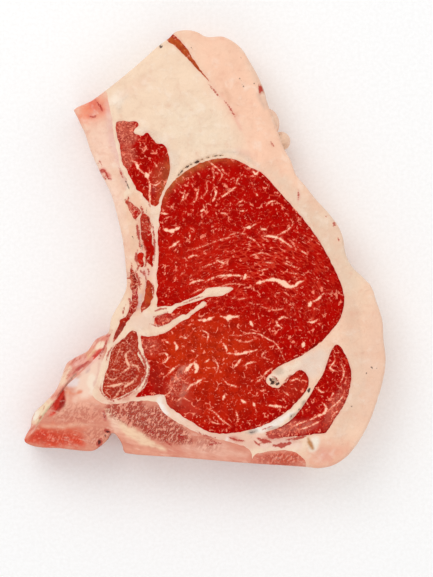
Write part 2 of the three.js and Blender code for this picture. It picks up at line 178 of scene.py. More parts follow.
OUTER_FAT = [
    (172, 15), (171, 34), (190, 58), (209, 81), (222, 96), (232, 110), (241, 128), (248, 146),
    (253, 166), (262, 200), (280, 290), (270, 350), (262, 374), (266, 392), (290, 396), (304, 389),
    (312, 390), (326, 396), (322, 425), (310, 439), (311, 452), (309, 485), (420, 500), (430, 250),
    (330, 15),
]
VESSEL = (274, 381)

# Lumps of fat on the side, below the cut face.
SIDE_LUMPS = [
    {"place": (271, 119), "across": 4.8, "along": 7.2, "turn": -1.25, "height": 17.0, "rise": 11.0},
    {"place": (282, 139), "across": 5.2, "along": 5.4, "turn": -1.25, "height": 15.0, "rise": 10.0},
]

# The order in which the tissues take their share of the face: node, piece, outline, kind.
TISSUES = [
    ("skin_muscle", "skin_muscle_sliver", SKIN_MUSCLE, "dull_lean"),
    ("rib_muscle", "rib_muscle_meat", RIB_MUSCLE, "lean"),
    ("eye_muscle", "eye_muscle_meat", EYE, "lean"),
    ("chine_muscle", "chine_muscle_meat", CHINE_MUSCLE, "dull_lean"),
    ("fan_muscle", "fan_muscle_meat", FAN_MUSCLE, "lean"),
    *[(f"strap_muscle_{i + 1}", f"strap_meat_{i + 1}", strap, "dull_lean")
      for i, strap in enumerate(STRAPS)],
    ("belly_lining", "lining_skin", LINING, "lining"),
    ("backbone", "backbone_sawn", BACKBONE, "bone"),
    ("tip_cartilage", "tip_gristle", CARTILAGE, "bone"),
    ("rib_bone", "rib_cover", RIB, "rib_fat"),
    ("outer_fat", "outer_fat_cap", OUTER_FAT, "outer_fat"),
    ("inner_fat", "inner_fat_web", None, "inner_fat"),
]
NODES = [row[0] for row in TISSUES]
KINDS = np.array([row[3] for row in TISSUES])
MUSCLE_KINDS = ("lean", "dull_lean")
CUT_FAT_KINDS = ("inner_fat", "outer_fat")

# ---- small tools for numbers -----------------------------------------------------------------


def place(points):
    """Places on the plan grid as millimetres from the middle of the steak."""
    squares = np.atleast_2d(np.asarray(points, float))
    return np.column_stack((squares[:, 0] - GRID_MIDDLE[0], GRID_MIDDLE[1] - squares[:, 1])) * SQUARE


def ease(value, low, high):
    """0 below low, 1 above high, and a soft step between."""
    share = np.clip((value - low) / (high - low), 0.0, 1.0)
    return share * share * (3.0 - 2.0 * share)


def mix(a, b, share):
    """The value that lies this share of the way from a to b."""
    return a + (b - a) * share


def linear(hex_colour):
    """An sRGB hex colour as linear red, green and blue."""
    parts = [int(hex_colour[i:i + 2], 16) / 255 for i in (1, 3, 5)]
    return np.array([p / 12.92 if p <= 0.04045 else ((p + 0.055) / 1.055) ** 2.4 for p in parts])


def soft_noise(points, size, seed=0):
    """Smooth random values from -1 to 1, with about one bump every `size` millimetres."""
    steps = np.asarray(points, float) / size + 7.31 * (seed + 1)
    cell = np.floor(steps).astype(np.int64)
    part = steps - cell
    part = part * part * (3.0 - 2.0 * part)
    total = np.zeros(len(steps))
    primes = (73856093, 19349663, 83492791)
    for corner in itertools.product((0, 1), repeat=steps.shape[1]):
        mixed = np.full(len(steps), 1013 * seed, np.int64)
        weight = np.ones(len(steps))
        for axis, offset in enumerate(corner):
            mixed ^= (cell[:, axis] + offset) * primes[axis]
            weight = weight * (part[:, axis] if offset else 1.0 - part[:, axis])
        mixed = ((mixed ^ (mixed >> 13)) * 1274126177) & 0x7FFFFFFF
        mixed = ((mixed ^ (mixed >> 15)) * 2246822519) & 0x7FFFFFFF
        total += weight * (mixed / 0x3FFFFFFF - 1.0)
    return total


def rough_noise(points, size, seed=0):
    """Three sizes of soft noise together, from about -1 to 1."""
    return (0.57 * soft_noise(points, size, seed) + 0.29 * soft_noise(points, size / 2.1, seed + 11)
            + 0.14 * soft_noise(points, size / 4.3, seed + 23))


# ---- outlines ----------------------------------------------------------------------------------


def smooth_line(places, step, closed=True):
    """A centripetal curve through the places, as points about one step apart."""
    knots = place(places)
    if closed:
        before, after, last = knots[-1:], knots[:2], len(knots)
    else:
        before, after, last = 2 * knots[:1] - knots[1:2], 2 * knots[-1:] - knots[-2:-1], len(knots) - 1
    chain = np.vstack((before, knots, after))
    points = []
    for i in range(last):
        p0, p1, p2, p3 = chain[i:i + 4]
        gap0, gap1, gap2 = (max(math.dist(a, b) ** 0.5, 1e-4) for a, b in ((p0, p1), (p1, p2), (p2, p3)))
        start = ((p1 - p0) / gap0 - (p2 - p0) / (gap0 + gap1) + (p2 - p1) / gap1) * gap1
        end = ((p2 - p1) / gap1 - (p3 - p1) / (gap1 + gap2) + (p3 - p2) / gap2) * gap1
        count = max(1, round(math.dist(p1, p2) / step))
        t = (np.arange(count) / count)[:, None]
        curve = (p1 + start * t + (3 * (p2 - p1) - 2 * start - end) * t ** 2
                 + (2 * (p1 - p2) + start + end) * t ** 3)
        points.append(curve)
    if not closed:
        points.append(knots[-1:])
    line = np.vstack(points)
    if closed and signed_area(line) < 0:
        line = line[::-1]
    return line


def signed_area(line):
    """The area inside an outline, negative where it runs clockwise."""
    x, y = line[:, 0], line[:, 1]
    return 0.5 * np.sum(x * np.roll(y, -1) - np.roll(x, -1) * y)


def outward_turns(line):
    """The outward direction at each point of a counter-clockwise outline, longer at corners."""
    arriving = line - np.roll(line, 1, axis=0)
    leaving = np.roll(line, -1, axis=0) - line
    arriving /= np.linalg.norm(arriving, axis=1)[:, None]
    leaving /= np.linalg.norm(leaving, axis=1)[:, None]
    along = arriving + leaving
    along /= np.maximum(np.linalg.norm(along, axis=1), 1e-6)[:, None]
    corner = np.maximum(np.sum(along * arriving, axis=1), 0.6)
    return np.column_stack((along[:, 1], -along[:, 0])) / corner[:, None]


def spaced_out(line, closest):
    """The line without points that follow the last kept one too closely, as in a tight corner."""
    kept = [line[0]]
    for point in line[1:]:
        if math.dist(point, kept[-1]) > closest and math.dist(point, line[0]) > closest:
            kept.append(point)
    return np.array(kept)


def distance_to(points, line):
    """The distance of each point to the nearest of a dense line's points."""
    tree = KDTree(len(line))
    for i, (x, y) in enumerate(line):
        tree.insert((x, y, 0.0), i)
    tree.balance()
    return np.array([tree.find((x, y, 0.0))[2] for x, y in points])


def inside_outline(points, line):
    """True for each point inside the outline."""
    following = np.roll(line, -1, axis=0)
    inside = np.zeros(len(points), bool)
    for (ax, ay), (bx, by) in zip(line, following):
        if ay == by:
            continue
        crosses = (ay > points[:, 1]) != (by > points[:, 1])
        inside ^= crosses & (points[:, 0] < ax + (points[:, 1] - ay) * (bx - ax) / (by - ay))
    return inside


def stroke_distance(points, places, width, reach):
    """Signed distance in millimetres to a stroke that is `width` squares wide and thin at its
    ends: negative inside it, and capped at `reach`."""
    line = smooth_line(places, STROKE_SPACING, closed=False)
    share = np.linspace(0.0, 1.0, len(line))
    half = 0.5 * width * SQUARE * (0.25 + 0.75 * np.sin(math.pi * share) ** 0.7)
    half = half * (0.9 + 0.5 * soft_noise(line, 1.5, 83))
    found = np.full(len(points), reach)
    low, high = line.min(axis=0) - reach, line.max(axis=0) + reach
    near = np.flatnonzero(np.all((points > low) & (points < high), axis=1))
    for start in range(0, len(near), SPOTS_AT_ONCE):
        some = near[start:start + SPOTS_AT_ONCE]
        gaps = np.linalg.norm(points[some, None, :] - line[None, :, :], axis=2) - half[None, :]
        found[some] = np.minimum(reach, gaps.min(axis=1))
    return found


# ---- the cut face --------------------------------------------------------------------------------


def sawn_share(points):
    """1 along the sawn edge of the bones, at the lower left of the plan, and 0 on soft tissue."""
    start, end = place([(255, 432), (290, 424)])
    return (1.0 - ease(points[:, 1], start[1], end[1])) * (1.0 - ease(points[:, 0], start[0], end[0]))


# Where the seams are torn most, among the small muscles and at the vessel: middle and half-widths.
TORN_AREAS = [(136, 250, 24, 150), (273, 382, 14, 12), (170, 312, 22, 12)]


def torn(points):
    """Moves the points of a seam a little, so that it looks torn."""
    x, y = points[:, 0] / SQUARE + GRID_MIDDLE[0], GRID_MIDDLE[1] - points[:, 1] / SQUARE
    most = np.zeros(len(points))
    for middle_x, middle_y, across, up in TORN_AREAS:
        away_share = np.hypot((x - middle_x) / across, (y - middle_y) / up)
        most = np.maximum(most, 1.0 - ease(away_share, 0.8, 1.15))
    moved = [(0.24 + 0.14 * most) * soft_noise(points, 1.6, seed)
             + (0.14 + 0.55 * most) * soft_noise(points, 3.1, seed + 1) for seed in (91, 95)]
    return points + np.column_stack(moved)


def seam_lines():
    """The rim of the cut face, then the outline of every tissue that has one, then the septa."""
    outer = smooth_line(OUTER, RIM_SPACING)
    rims = mix(FAT_RIM, BONE_RIM, sawn_share(outer))
    rim = outer - outward_turns(outer) * rims[:, None]
    rim = spaced_out(np.roll(rim, len(rim) // 2, axis=0), RIM_CLOSEST)
    outlines = [row[2] for row in TISSUES if row[2]] + SEPTA
    return [rim] + [torn(smooth_line(outline, SEAM_SPACING)) for outline in outlines]


def grid_points(low, high):
    """Rows of points in equal triangles between two corners."""
    rows = np.arange(low[1], high[1], CELL * math.sqrt(0.75))
    grid = []
    for i, y in enumerate(rows):
        xs = np.arange(low[0] + CELL / 2 * (i % 2), high[0], CELL)
        grid.append(np.column_stack((xs, np.full(len(xs), y))))
    return np.vstack(grid)


def tissue_inside(found, septa):
    """The first tissue in the list whose outline is among those found. The fat has no outline
    and takes what is left over, and the septa that cross the eye."""
    for index in range(len(NODES) - 1):
        in_septum = index == NODES.index("eye_muscle") and found & septa
        if index + 1 in found and not in_septum:
            return index
    return len(NODES) - 1


def make_plan():
    """Splits the cut face along every seam into small triangles.

    Returns the points, the triangles, each triangle's tissue, and the closed rim of points."""
    seams = seam_lines()
    corners = np.vstack(seams)
    grid = grid_points(seams[0].min(axis=0), seams[0].max(axis=0))
    grid = grid[distance_to(grid, corners) > SEAM_CLEARANCE]

    faces = []
    start = 0
    for line in seams:
        faces.append(list(range(start, start + len(line))))
        start += len(line)
    points = np.vstack((corners, grid))
    result = delaunay_2d_cdt([Vector(p) for p in points], [], faces, 0, 1e-5, True)
    septa = set(range(len(faces) - len(SEPTA), len(faces)))
    kept, tissue = [], []
    for triangle, found in zip(result[2], result[5]):
        found = set(found)
        if 0 not in found:
            continue
        kept.append(triangle)
        tissue.append(tissue_inside(found, septa))
    spots = np.array([tuple(v) for v in result[0]])
    triangles = np.array(kept)
    a, b, c = (spots[triangles[:, i]] for i in range(3))
    turn = (b[:, 0] - a[:, 0]) * (c[:, 1] - a[:, 1]) - (b[:, 1] - a[:, 1]) * (c[:, 0] - a[:, 0])
    triangles[turn < 0] = triangles[turn < 0][:, ::-1]
    tissue = absorb_scraps(triangles, np.array(tissue), np.abs(turn) / 2)
    used, triangles = np.unique(triangles, return_inverse=True)
    triangles = triangles.reshape(-1, 3)
    return spots[used], triangles, tissue, find_rim(triangles)


def edges_of(triangles):
    """Every triangle's first edge, then every second and every third one."""
    return np.vstack((triangles[:, [0, 1]], triangles[:, [1, 2]], triangles[:, [2, 0]]))


def border_of(triangles):
    """The edges that only one triangle has, and which of all edges they are."""
    edges = edges_of(triangles)
    size = int(triangles.max()) + 1
    alone = ~np.isin(edges[:, 0] * size + edges[:, 1], edges[:, 1] * size + edges[:, 0])
    return edges[alone], alone


def find_rim(triangles):
    """The outer border of the triangles as one closed run of point numbers."""
    border, _ = border_of(triangles)
    following = dict(border.tolist())
    run = [int(border[0, 0])]
    while following[run[-1]] != run[0]:
        run.append(following[run[-1]])
    return np.array(run)


def neighbours_of(triangles):
    """Every pair of triangles with an edge in common."""
    edges = edges_of(triangles)
    faces = np.tile(np.arange(len(triangles)), 3)
    size = int(triangles.max()) + 1
    first = {}
    pairs = []
    for key, face in zip((edges.min(axis=1) * size + edges.max(axis=1)).tolist(), faces.tolist()):
        if key in first:
            pairs.append((first[key], face))
        else:
            first[key] = face
    return np.array(pairs)


def patch_leaders(count, pairs):
    """For each triangle, the lowest number in the patch that the pairs join it to."""
    leader = np.arange(count)
    while True:
        before = leader.copy()
        lowest = np.minimum(leader[pairs[:, 0]], leader[pairs[:, 1]])
        np.minimum.at(leader, pairs[:, 0], lowest)
        np.minimum.at(leader, pairs[:, 1], lowest)
        leader = leader[leader]
        if np.array_equal(before, leader):
            return leader


def absorb_scraps(triangles, tissue, areas):
    """Gives a scrap of a tissue, other than its largest patch, to the tissue round it."""
    pairs = neighbours_of(triangles)
    for _ in range(3):
        same = pairs[tissue[pairs[:, 0]] == tissue[pairs[:, 1]]]
        leader = patch_leaders(len(triangles), same)
        patch_area = np.bincount(leader, weights=areas, minlength=len(triangles))
        largest = {}
        for patch in np.unique(leader):
            kind = tissue[patch]
            if kind not in largest or patch_area[patch] > patch_area[largest[kind]]:
                largest[kind] = patch
        small = (patch_area[leader] < SMALLEST_PATCH) & ~np.isin(leader, list(largest.values()))
        if not small.any():
            break
        across = pairs[tissue[pairs[:, 0]] != tissue[pairs[:, 1]]]
        across = np.vstack((across, across[:, ::-1]))
        across = across[small[across[:, 0]] & ~small[across[:, 1]]]
        gain = dict(zip(leader[across[:, 0]].tolist(), tissue[across[:, 1]].tolist()))
        for face in np.flatnonzero(small):
            tissue[face] = gain.get(int(leader[face]), tissue[face])
    return tissue


spots, triangles, tissue, rim = make_plan()
rim_place = np.full(len(spots), -1)
rim_place[rim] = np.arange(len(rim))


def touching(indices):
    """True for each point of a triangle of the given tissues."""
    mask = np.zeros(len(spots), bool)
    mask[triangles[np.isin(tissue, indices)].ravel()] = True
    return mask


def tissue_rows(kinds):
    """The rows of the tissues of the given kinds."""
    return [i for i, kind in enumerate(KINDS) if kind in kinds]


def seam_points(mine):
    """The points that some tissues share with the others."""
    others = [i for i in range(len(NODES)) if i not in mine]
    return spots[touching(mine) & touching(others)]


is_muscle = touching(tissue_rows(MUSCLE_KINDS))
is_fat = touching(tissue_rows(("inner_fat", "outer_fat", "rib_fat")))
is_bone = touching(tissue_rows(("bone",)))
is_lining = touching(tissue_rows(("lining",)))
muscle_seam = distance_to(spots, seam_points(tissue_rows(MUSCLE_KINDS)))
any_seam = np.minimum(muscle_seam, distance_to(spots, seam_points(tissue_rows(("bone", "lining")))))


def lining_fall(points, inside):
    """How far the lining drops below the cut face, in soft folds."""
    line = smooth_line(LINING, 0.5)
    depth = np.where(inside, distance_to(points, line), 0.0)
    folds = FOLD_HEIGHT * np.sin(depth * 2 * math.pi / FOLD_WIDTH - 0.8)
    return np.where(inside, SIDE_DROP * ease(depth, 0.0, SIDE_DROP) - folds * ease(depth, 1.0, 4.0), 0.0)


def face_height(points, inside_lining):
    """Long waves of a hand-cut face, a slant to the rib's end, and the lower backbone."""
    x, y = points[:, 0], points[:, 1]
    waves = 0.7 * np.sin(x / 31 + 0.8) * np.cos(y / 38 - 0.4) + 0.4 * np.sin(x / 15 - y / 21)
    slant = -RIB_END_THINNER * ease(y, -40.0, LENGTH / 2)
    tip = place([(24, 440)])[0]
    backbone_fall = -3.5 * (1.0 - ease(np.hypot(x - tip[0], y - tip[1]), 6.0, 42.0))
    return THICKNESS + waves + slant + backbone_fall - lining_fall(points, inside_lining)


# ---- marbling, dark marks and stains, by place on the plan grid ----------------------------------

# Fat streaks in the meat: width in squares, then the places that the streak passes.
STREAKS = [
    (3.4, [(256, 283.5), (261, 282), (266, 281)]),
    (5.6, [(262, 281.5), (268, 280), (275, 279.8), (283, 283), (289, 286.5), (295, 286)]),
    (3.6, [(294, 287), (298, 283), (304, 280.5)]),
    (3.2, [(262, 236), (272, 236.5), (280, 239), (286, 243), (292, 247)]),
    (2.0, [(276, 236), (286, 231), (291, 227), (293, 223), (290, 219)]),
    (3.0, [(216, 276), (228, 275.5), (236, 275.5), (243, 276)]), (3.6, [(244, 279), (246, 274)]),
    (1.8, [(203, 283), (216, 277), (224, 278)]), (3.0, [(222, 197), (229, 192), (236, 187)]),
    (3.4, [(213, 201), (216, 193), (214, 187)]), (2.2, [(200, 212), (204, 209), (203, 204)]),
    (1.8, [(203, 209), (207, 213)]), (4.2, [(163, 229), (172, 231), (180, 227)]),
    (3.2, [(169, 248), (174, 245), (179, 241)]), (3.2, [(243, 228), (250, 227), (256, 224)]),
    (2.6, [(261, 229), (267, 229.5)]), (3.0, [(240, 211), (244, 211)]),
    (2.4, [(216, 260), (221, 262), (225, 264)]), (2.2, [(188, 258), (195, 255), (199, 257)]),
    (4.2, [(309, 306), (311, 302)]), (2.8, [(311, 303), (318, 299), (324, 293)]),
    (2.4, [(189, 284), (197, 281), (205, 280)]), (2.6, [(252, 170), (256, 174), (259, 171)]),
    (3.0, [(256, 193), (258, 196)]), (2.2, [(266, 206), (270, 202), (276, 201)]),
    (3.4, [(198, 320), (206, 320), (214, 317)]),
    (4.4, [(220, 316), (226, 317.5), (232, 317), (238, 316.5)]), (2.6, [(226, 317), (229, 322)]),
    (3.0, [(250, 321), (253, 327)]), (2.2, [(278, 320), (283, 317), (288, 318)]),
    (2.2, [(273, 329), (277, 325), (282, 328)]), (2.0, [(276, 320), (278, 327)]),
    (2.6, [(223, 343), (226, 348), (227, 353)]),
    (3.2, [(226, 353), (238, 354), (248, 352), (257, 350)]),
    (3.0, [(234, 368), (238, 363), (241, 359)]), (2.6, [(243, 367), (249, 363), (256, 362)]),
    (2.6, [(194, 385), (199, 381), (204, 378)]), (4.0, [(184, 373), (190, 366), (196, 361)]),
    (3.2, [(174, 342), (177, 346), (176, 350)]),
    (2.2, [(158, 355), (165, 353), (168, 357), (166, 361), (160, 364)]),
    (4.0, [(268, 405), (275, 406), (282, 407)]), (3.0, [(223, 400), (225, 394)]),
    (2.8, [(241, 400), (246, 403)]), (2.8, [(253, 402), (255, 407)]), (3.4, [(303, 347), (304, 342)]),
    (2.6, [(309, 320), (313, 318)]), (2.2, [(307, 322), (313, 322), (318, 319)]),
    (1.5, [(229, 335), (240, 335.5), (250, 333), (260, 334.5), (268, 339), (275, 343), (280, 350),
           (283, 357), (286, 362)]),
    (1.7, [(207, 160), (222, 174), (219, 182)]), (1.8, [(221, 166), (224, 172), (229, 176)]),
    (1.6, [(212, 169), (214, 176), (213, 181)]), (1.6, [(243, 174), (238, 179), (236, 184)]),
    (1.8, [(185, 190), (183, 198), (180, 204)]), (1.8, [(199, 186), (197, 196)]),
    (1.6, [(206, 180), (207, 190), (203, 197)]), (1.6, [(175, 203), (171, 207), (166, 206)]),
    (1.6, [(190, 204), (196, 200), (197, 192)]), (1.8, [(160, 213), (168, 214)]),
    (1.6, [(189, 232), (190, 238), (186, 242)]), (1.5, [(236, 205), (242, 201), (247, 203)]),
    (1.6, [(220, 213), (228, 214)]), (1.7, [(228, 236), (236, 233), (246, 234)]),
    (1.5, [(190, 250), (204, 246), (220, 240), (236, 236)]),
    (1.5, [(244, 236), (254, 240), (260, 247)]), (1.6, [(250, 256), (262, 253), (272, 256)]),
    (1.6, [(200, 268), (214, 263), (228, 259)]), (1.6, [(262, 262), (274, 263)]),
    (1.6, [(282, 262), (292, 266), (300, 268)]), (1.8, [(257, 271), (268, 269)]),
    (1.6, [(300, 250), (308, 255)]), (1.5, [(286, 272), (298, 274)]),
    (1.5, [(212, 290), (230, 284), (246, 285)]), (1.5, [(236, 300), (252, 297)]),
    (1.5, [(190, 295), (200, 290), (210, 288)]), (1.6, [(286, 298), (287, 304)]),
    (1.5, [(262, 307), (275, 310), (283, 309)]), (1.8, [(202, 330), (208, 334), (207, 342)]),
    (1.7, [(234, 339), (245, 342), (258, 338)]), (1.6, [(212, 356), (218, 366), (216, 374)]),
    (1.7, [(266, 350), (262, 356), (270, 360)]), (2.0, [(222, 378), (228, 384), (238, 387)]),
    (1.8, [(256, 383), (262, 378)]), (1.8, [(290, 382), (297, 379), (303, 383)]),
    (1.7, [(284, 392), (290, 396)]), (1.8, [(236, 411), (238, 418)]),
    (2.0, [(208, 416), (212, 422), (220, 424)]),
    (1.8, [(206, 408), (214, 412), (222, 420), (232, 427)]), (1.8, [(164, 340), (170, 344)]),
    (1.8, [(180, 336), (186, 338), (190, 334)]), (1.8, [(190, 350), (196, 352)]),
    (1.6, [(204, 363), (210, 359)]), (1.8, [(150, 347), (156, 345)]),
    (2.4, [(262, 378), (267, 372), (272, 368)]), (2.0, [(260, 391), (266, 390)]),
    (2.2, [(166, 376), (172, 370), (180, 364)]), (2.0, [(170, 388), (176, 380), (184, 376)]),
    (1.6, [(164, 396), (170, 392), (173, 384)]), (2.2, [(186, 392), (190, 386), (196, 382)]),
    (4.6, [(195, 363), (197, 369), (195, 373)]), (1.8, [(176, 402), (182, 398), (188, 400)]),
    (1.8, [(136.5, 281), (140, 280.5)]), (1.6, [(135, 284), (138, 283.8)]),
    # in the rib muscle
    (3.4, [(135.5, 163.5), (137.5, 166), (138, 169)]), (4.4, [(146, 173), (148, 178)]),
    (1.9, [(147, 175), (152, 171)]), (1.9, [(147, 176), (141, 171), (136, 166)]),
    (2.1, [(148, 178), (150, 186), (149, 195)]), (1.8, [(149, 183), (156, 185), (162, 180)]),
    (3.2, [(149, 207), (150, 200), (149, 193)]), (1.5, [(143, 141), (146, 148), (141, 154)]),
    (1.4, [(152, 150), (157, 154)]), (1.4, [(130, 160), (138, 163)]), (1.4, [(154, 162), (158, 168)]),
    (1.5, [(157, 191), (161, 188)]),
    # in the muscle along the backbone
    (2.6, [(131.6, 348.8), (126, 354.4), (127, 361), (129, 367), (122, 372.8)]),
    (2.2, [(129, 367), (133, 365), (136.4, 366), (139.6, 372)]),
    (2.6, [(138, 375), (132.4, 381.6), (125, 387), (122.8, 394.4)]),
    (2.6, [(104.4, 386.4), (114, 385.6), (124.4, 383), (129, 382.4)]),
    (2.4, [(106, 376), (112.4, 380), (117, 377.6)]), (1.7, [(121, 346), (117, 356), (113, 366)]),
    (1.7, [(113, 399), (118, 393), (121, 388)]), (1.6, [(134, 352), (137, 360)]),
    (1.6, [(110, 369), (117, 370)]),
    # in the fan muscle and the slices below it
    (2.2, [(333, 352), (335, 360), (330, 368), (338, 372)]),
    (1.8, [(340, 362), (344, 372), (340, 384)]),
    (2.8, [(322, 402), (326, 407), (325, 412), (318, 416), (309, 420)]),
    (2.2, [(309, 420), (298, 424), (288, 429)]),
    (1.8, [(345, 390), (340, 400), (331, 408), (322, 416)]),
    (1.8, [(316, 388), (322, 392), (327, 391)]), (1.5, [(334, 392), (330, 398)]),
    (2.0, [(322, 420), (310, 426), (296, 431)]), (1.8, [(302, 410), (303, 415)]),
    (1.8, [(341, 409), (334, 414), (330, 424)]),
]

# Thin dark marks: width in squares, then the places. The first ones are painted shade down the narrow slit
# over the eye, which is also cut into the face.
DARK_MARKS = [
    (2.0, [(178, 175.5), (181, 172), (184, 168)]), (2.5, [(184.5, 168), (189, 165.5)]),
    (1.2, [(190, 164.5), (192, 163.8)]), (2.0, [(194, 163), (199, 160.8)]),
    (1.2, [(201, 159.8), (203, 159)]), (1.0, [(206, 157.8), (210, 156.8)]),
    (0.7, [(213, 156), (218, 155.5), (223, 155.2)]), (4.6, [(271, 384), (274, 382)]),
    (3.4, [(276, 385), (279, 383)]), (2.6, [(270, 378), (271, 381)]), (2.4, [(308, 392), (310, 388)]),
    (1.2, [(304, 352), (312, 347), (322, 339)]), (3.0, [(109.5, 432), (106, 431)]),
    (2.8, [(100, 440), (98.5, 444)]), (1.4, [(104, 433), (106, 437)]), (1.0, [(103, 412), (105, 418)]),
    (2.0, [(241, 57), (241.5, 57.5)]), (1.4, [(239, 78), (240, 78.5)]), (1.2, [(242, 84), (244, 87)]),
    (1.2, [(254, 83), (255, 83.5)]), (1.4, [(253, 105), (253.5, 105.5)]),
    (1.0, [(259, 115), (259.5, 115.5)]), (1.4, [(241, 80), (241.5, 80.5)]),
    (1.5, [(370, 366), (373, 369)]), (1.3, [(376, 368), (377, 369)]), (1.4, [(374, 381), (374.5, 382)]),
    (1.5, [(351, 406), (352, 407)]), (1.0, [(366, 374), (367, 372)]), (0.9, [(163, 45), (160, 48)]),
    (1.0, [(191, 47), (193, 49)]),
    # among the small muscles beside the rib
    (1.0, [(147, 215), (148.5, 220), (149.5, 226)]), (0.9, [(132, 235.5), (134, 239)]),
    (1.1, [(141.5, 244), (142.3, 250)]), (1.3, [(131.5, 273), (134, 277), (135.5, 282)]),
    (1.3, [(134, 284), (136, 288)]), (1.0, [(133, 297), (134, 300)]),
    (1.1, [(125, 180), (127.5, 185), (130, 190.5)]), (0.8, [(147, 208), (146, 213)]),
    # where the white band meets the fan muscle
    (1.2, [(297, 413), (300, 408)]), (1.0, [(290, 417.5), (292, 415.5)]),
    (1.2, [(249, 432.5), (255, 432)]),
]

# Shreds of red meat in fat, lining and bone.
RED_MARKS = [
    (3.0, [(141.5, 220), (143, 230), (144.5, 242), (147, 256)]),
    (2.2, [(125, 199), (129, 206), (133, 214), (136, 220)]),
    (1.8, [(101, 384), (101, 391), (106, 397), (114, 401)]),
    (1.8, [(117, 400), (126, 396), (134, 391)]),
    (2.8, [(137, 347), (139.6, 352), (145.4, 364.8), (143.2, 379), (136, 390.4)]),
    (2.4, [(144, 354), (149.4, 364.8), (147.4, 379), (141, 390)]),
    (1.3, [(106, 362), (109, 352), (113, 346)]), (2.6, [(140.5, 206), (142.5, 212), (141, 219)]),
    (2.0, [(152.5, 224), (154, 236), (154.4, 250), (153.8, 262)]),
    (2.6, [(137.5, 250), (136, 256), (137, 264)]), (2.4, [(145, 256), (146, 262), (144.5, 267)]),
    (2.0, [(152.6, 284), (153.4, 292), (152, 300)]), (1.6, [(129, 272), (128.5, 278), (129, 284)]),
    (2.4, [(135.5, 270), (137, 276), (139, 282), (140, 289)]), (1.8, [(137, 277), (141, 278.5)]),
    (1.8, [(138, 283), (142, 284)]), (2.4, [(137.5, 296), (136.6, 304), (134, 312)]),
    (1.6, [(126, 304), (123, 312), (124, 318)]),
    (3.2, [(136.5, 223), (137.5, 229), (138.6, 236), (139, 240)]),
    (1.4, [(139.5, 240), (140, 246), (141, 250)]), (2.0, [(140, 270), (143, 273), (145, 276)]),
    (1.6, [(147, 268), (149, 272), (148, 276)]), (2.4, [(140, 262), (138, 268), (136, 272)]),
    (3.0, [(129, 298), (131, 304), (130, 309)]), (2.0, [(137, 290), (136, 297), (134, 304)]),
    (2.0, [(155, 311), (161, 309), (167, 308.5)]), (1.8, [(153, 317), (160, 316), (168, 312)]),
    (1.4, [(157, 305), (163, 304), (170, 302)]), (1.3, [(168, 303), (178, 299), (190, 295)]),
    (1.2, [(184, 303), (194, 299), (204, 296)]), (1.3, [(150, 324), (158, 326), (166, 324)]),
    (1.6, [(112, 330), (108, 338), (104, 348), (99, 360)]), (2.0, [(119, 168), (121, 173), (123, 178)]),
    (1.4, [(144, 270), (146, 279), (146, 284)]), (1.4, [(131, 262), (132, 268), (131, 273)]),
    (1.8, [(144, 193), (148, 200), (150, 207)]), (2.2, [(96, 101), (100, 106), (102, 111)]),
    (1.8, [(90, 116), (93, 117), (96, 115)]), (2.6, [(102, 169), (106, 173), (108, 178), (111, 179)]),
    (1.4, [(99, 160), (102, 166)]), (1.6, [(222, 36.5), (227, 38), (229, 40)]),
    (1.4, [(209, 84), (214, 90), (219, 96)]), (1.2, [(224, 100), (230, 108), (235, 116)]),
    (1.6, [(232, 112), (235, 115)]), (2.6, [(259, 82), (260.5, 88), (259.5, 93)]),
    (1.3, [(298, 190), (298.5, 195), (298, 200)]), (1.3, [(326, 216), (327, 217)]),
    (1.4, [(333, 222), (334, 227)]), (1.3, [(338, 238), (339, 241)]), (5.0, [(110, 432), (105, 430)]),
    (5.0, [(101, 438), (98, 446)]), (1.3, [(271, 142), (274, 147)]),
    (3.0, [(228, 437), (236, 440), (244, 441)]), (2.4, [(206, 446), (213, 444), (221, 443)]),
    (5.0, [(266, 434.5), (274, 436.5), (283, 437)]), (3.8, [(257, 438), (264, 441), (271, 442)]),
    (4.2, [(273, 445.5), (281, 445.5), (291, 443)]), (3.0, [(286, 440), (296, 438.5), (307, 436)]),
    (1.6, [(254, 441), (260, 446)]), (1.4, [(196, 431), (206, 436), (216, 438)]),
    (1.2, [(256, 444), (266, 443)]), (1.4, [(272, 376), (277, 379), (279, 384)]),
    (1.4, [(283, 384), (287, 379), (292, 374)]), (1.2, [(262, 430), (272, 426)]),
    (2.6, [(147, 428), (152, 432), (156, 434)]), (3.0, [(178, 436), (182, 437.5), (185, 439)]),
    (1.8, [(104, 411), (106, 417)]), (1.6, [(164, 440), (172, 446)]),
    (1.6, [(206, 437), (212, 441), (222, 444)]), (3.0, [(92, 357), (98, 354), (103, 352)]),
    (2.0, [(74, 372), (82, 366), (90, 360)]), (1.4, [(58, 398), (52, 406), (46, 412)]),
]

THINNEST_MARK = 0.9       # in squares
STREAKS_THINNER = 0.25    # the bleed of the material gives the streaks this width back
SLIT_MARKS = 7            # so many of the first dark marks are the slit over the eye


def nearest_stroke(strokes, thinner=0.0):
    """The distance to the nearest of the strokes, each drawn thinner by some squares."""
    found = np.full(len(spots), MARK_REACH)
    for width, places in strokes:
        width = max(width - thinner, THINNEST_MARK)
        found = np.minimum(found, stroke_distance(spots, places, width, MARK_REACH))
    return found


streak = nearest_stroke(STREAKS, STREAKS_THINNER)
dark_mark = nearest_stroke(DARK_MARKS)
red_mark = nearest_stroke(RED_MARKS)


def oval(x, y, across, up, turn=0.0):
    """Signed distance in squares to an oval, negative inside it."""
    squares = spots / SQUARE
    dx = squares[:, 0] - (x - GRID_MIDDLE[0])
    dy = -squares[:, 1] - (y - GRID_MIDDLE[1])
    angle = math.radians(turn)
    along = dx * math.cos(angle) + dy * math.sin(angle)
    beside = -dx * math.sin(angle) + dy * math.cos(angle)
    reach = np.sqrt((along / across) ** 2 + (beside / up) ** 2)
    return (reach - 1.0) * min(across, up)


def oval_share(soft, *numbers):
    """1 inside an oval and 0 outside it, with a border that is soft for some squares."""
    return 1.0 - ease(oval(*numbers), -soft, soft)


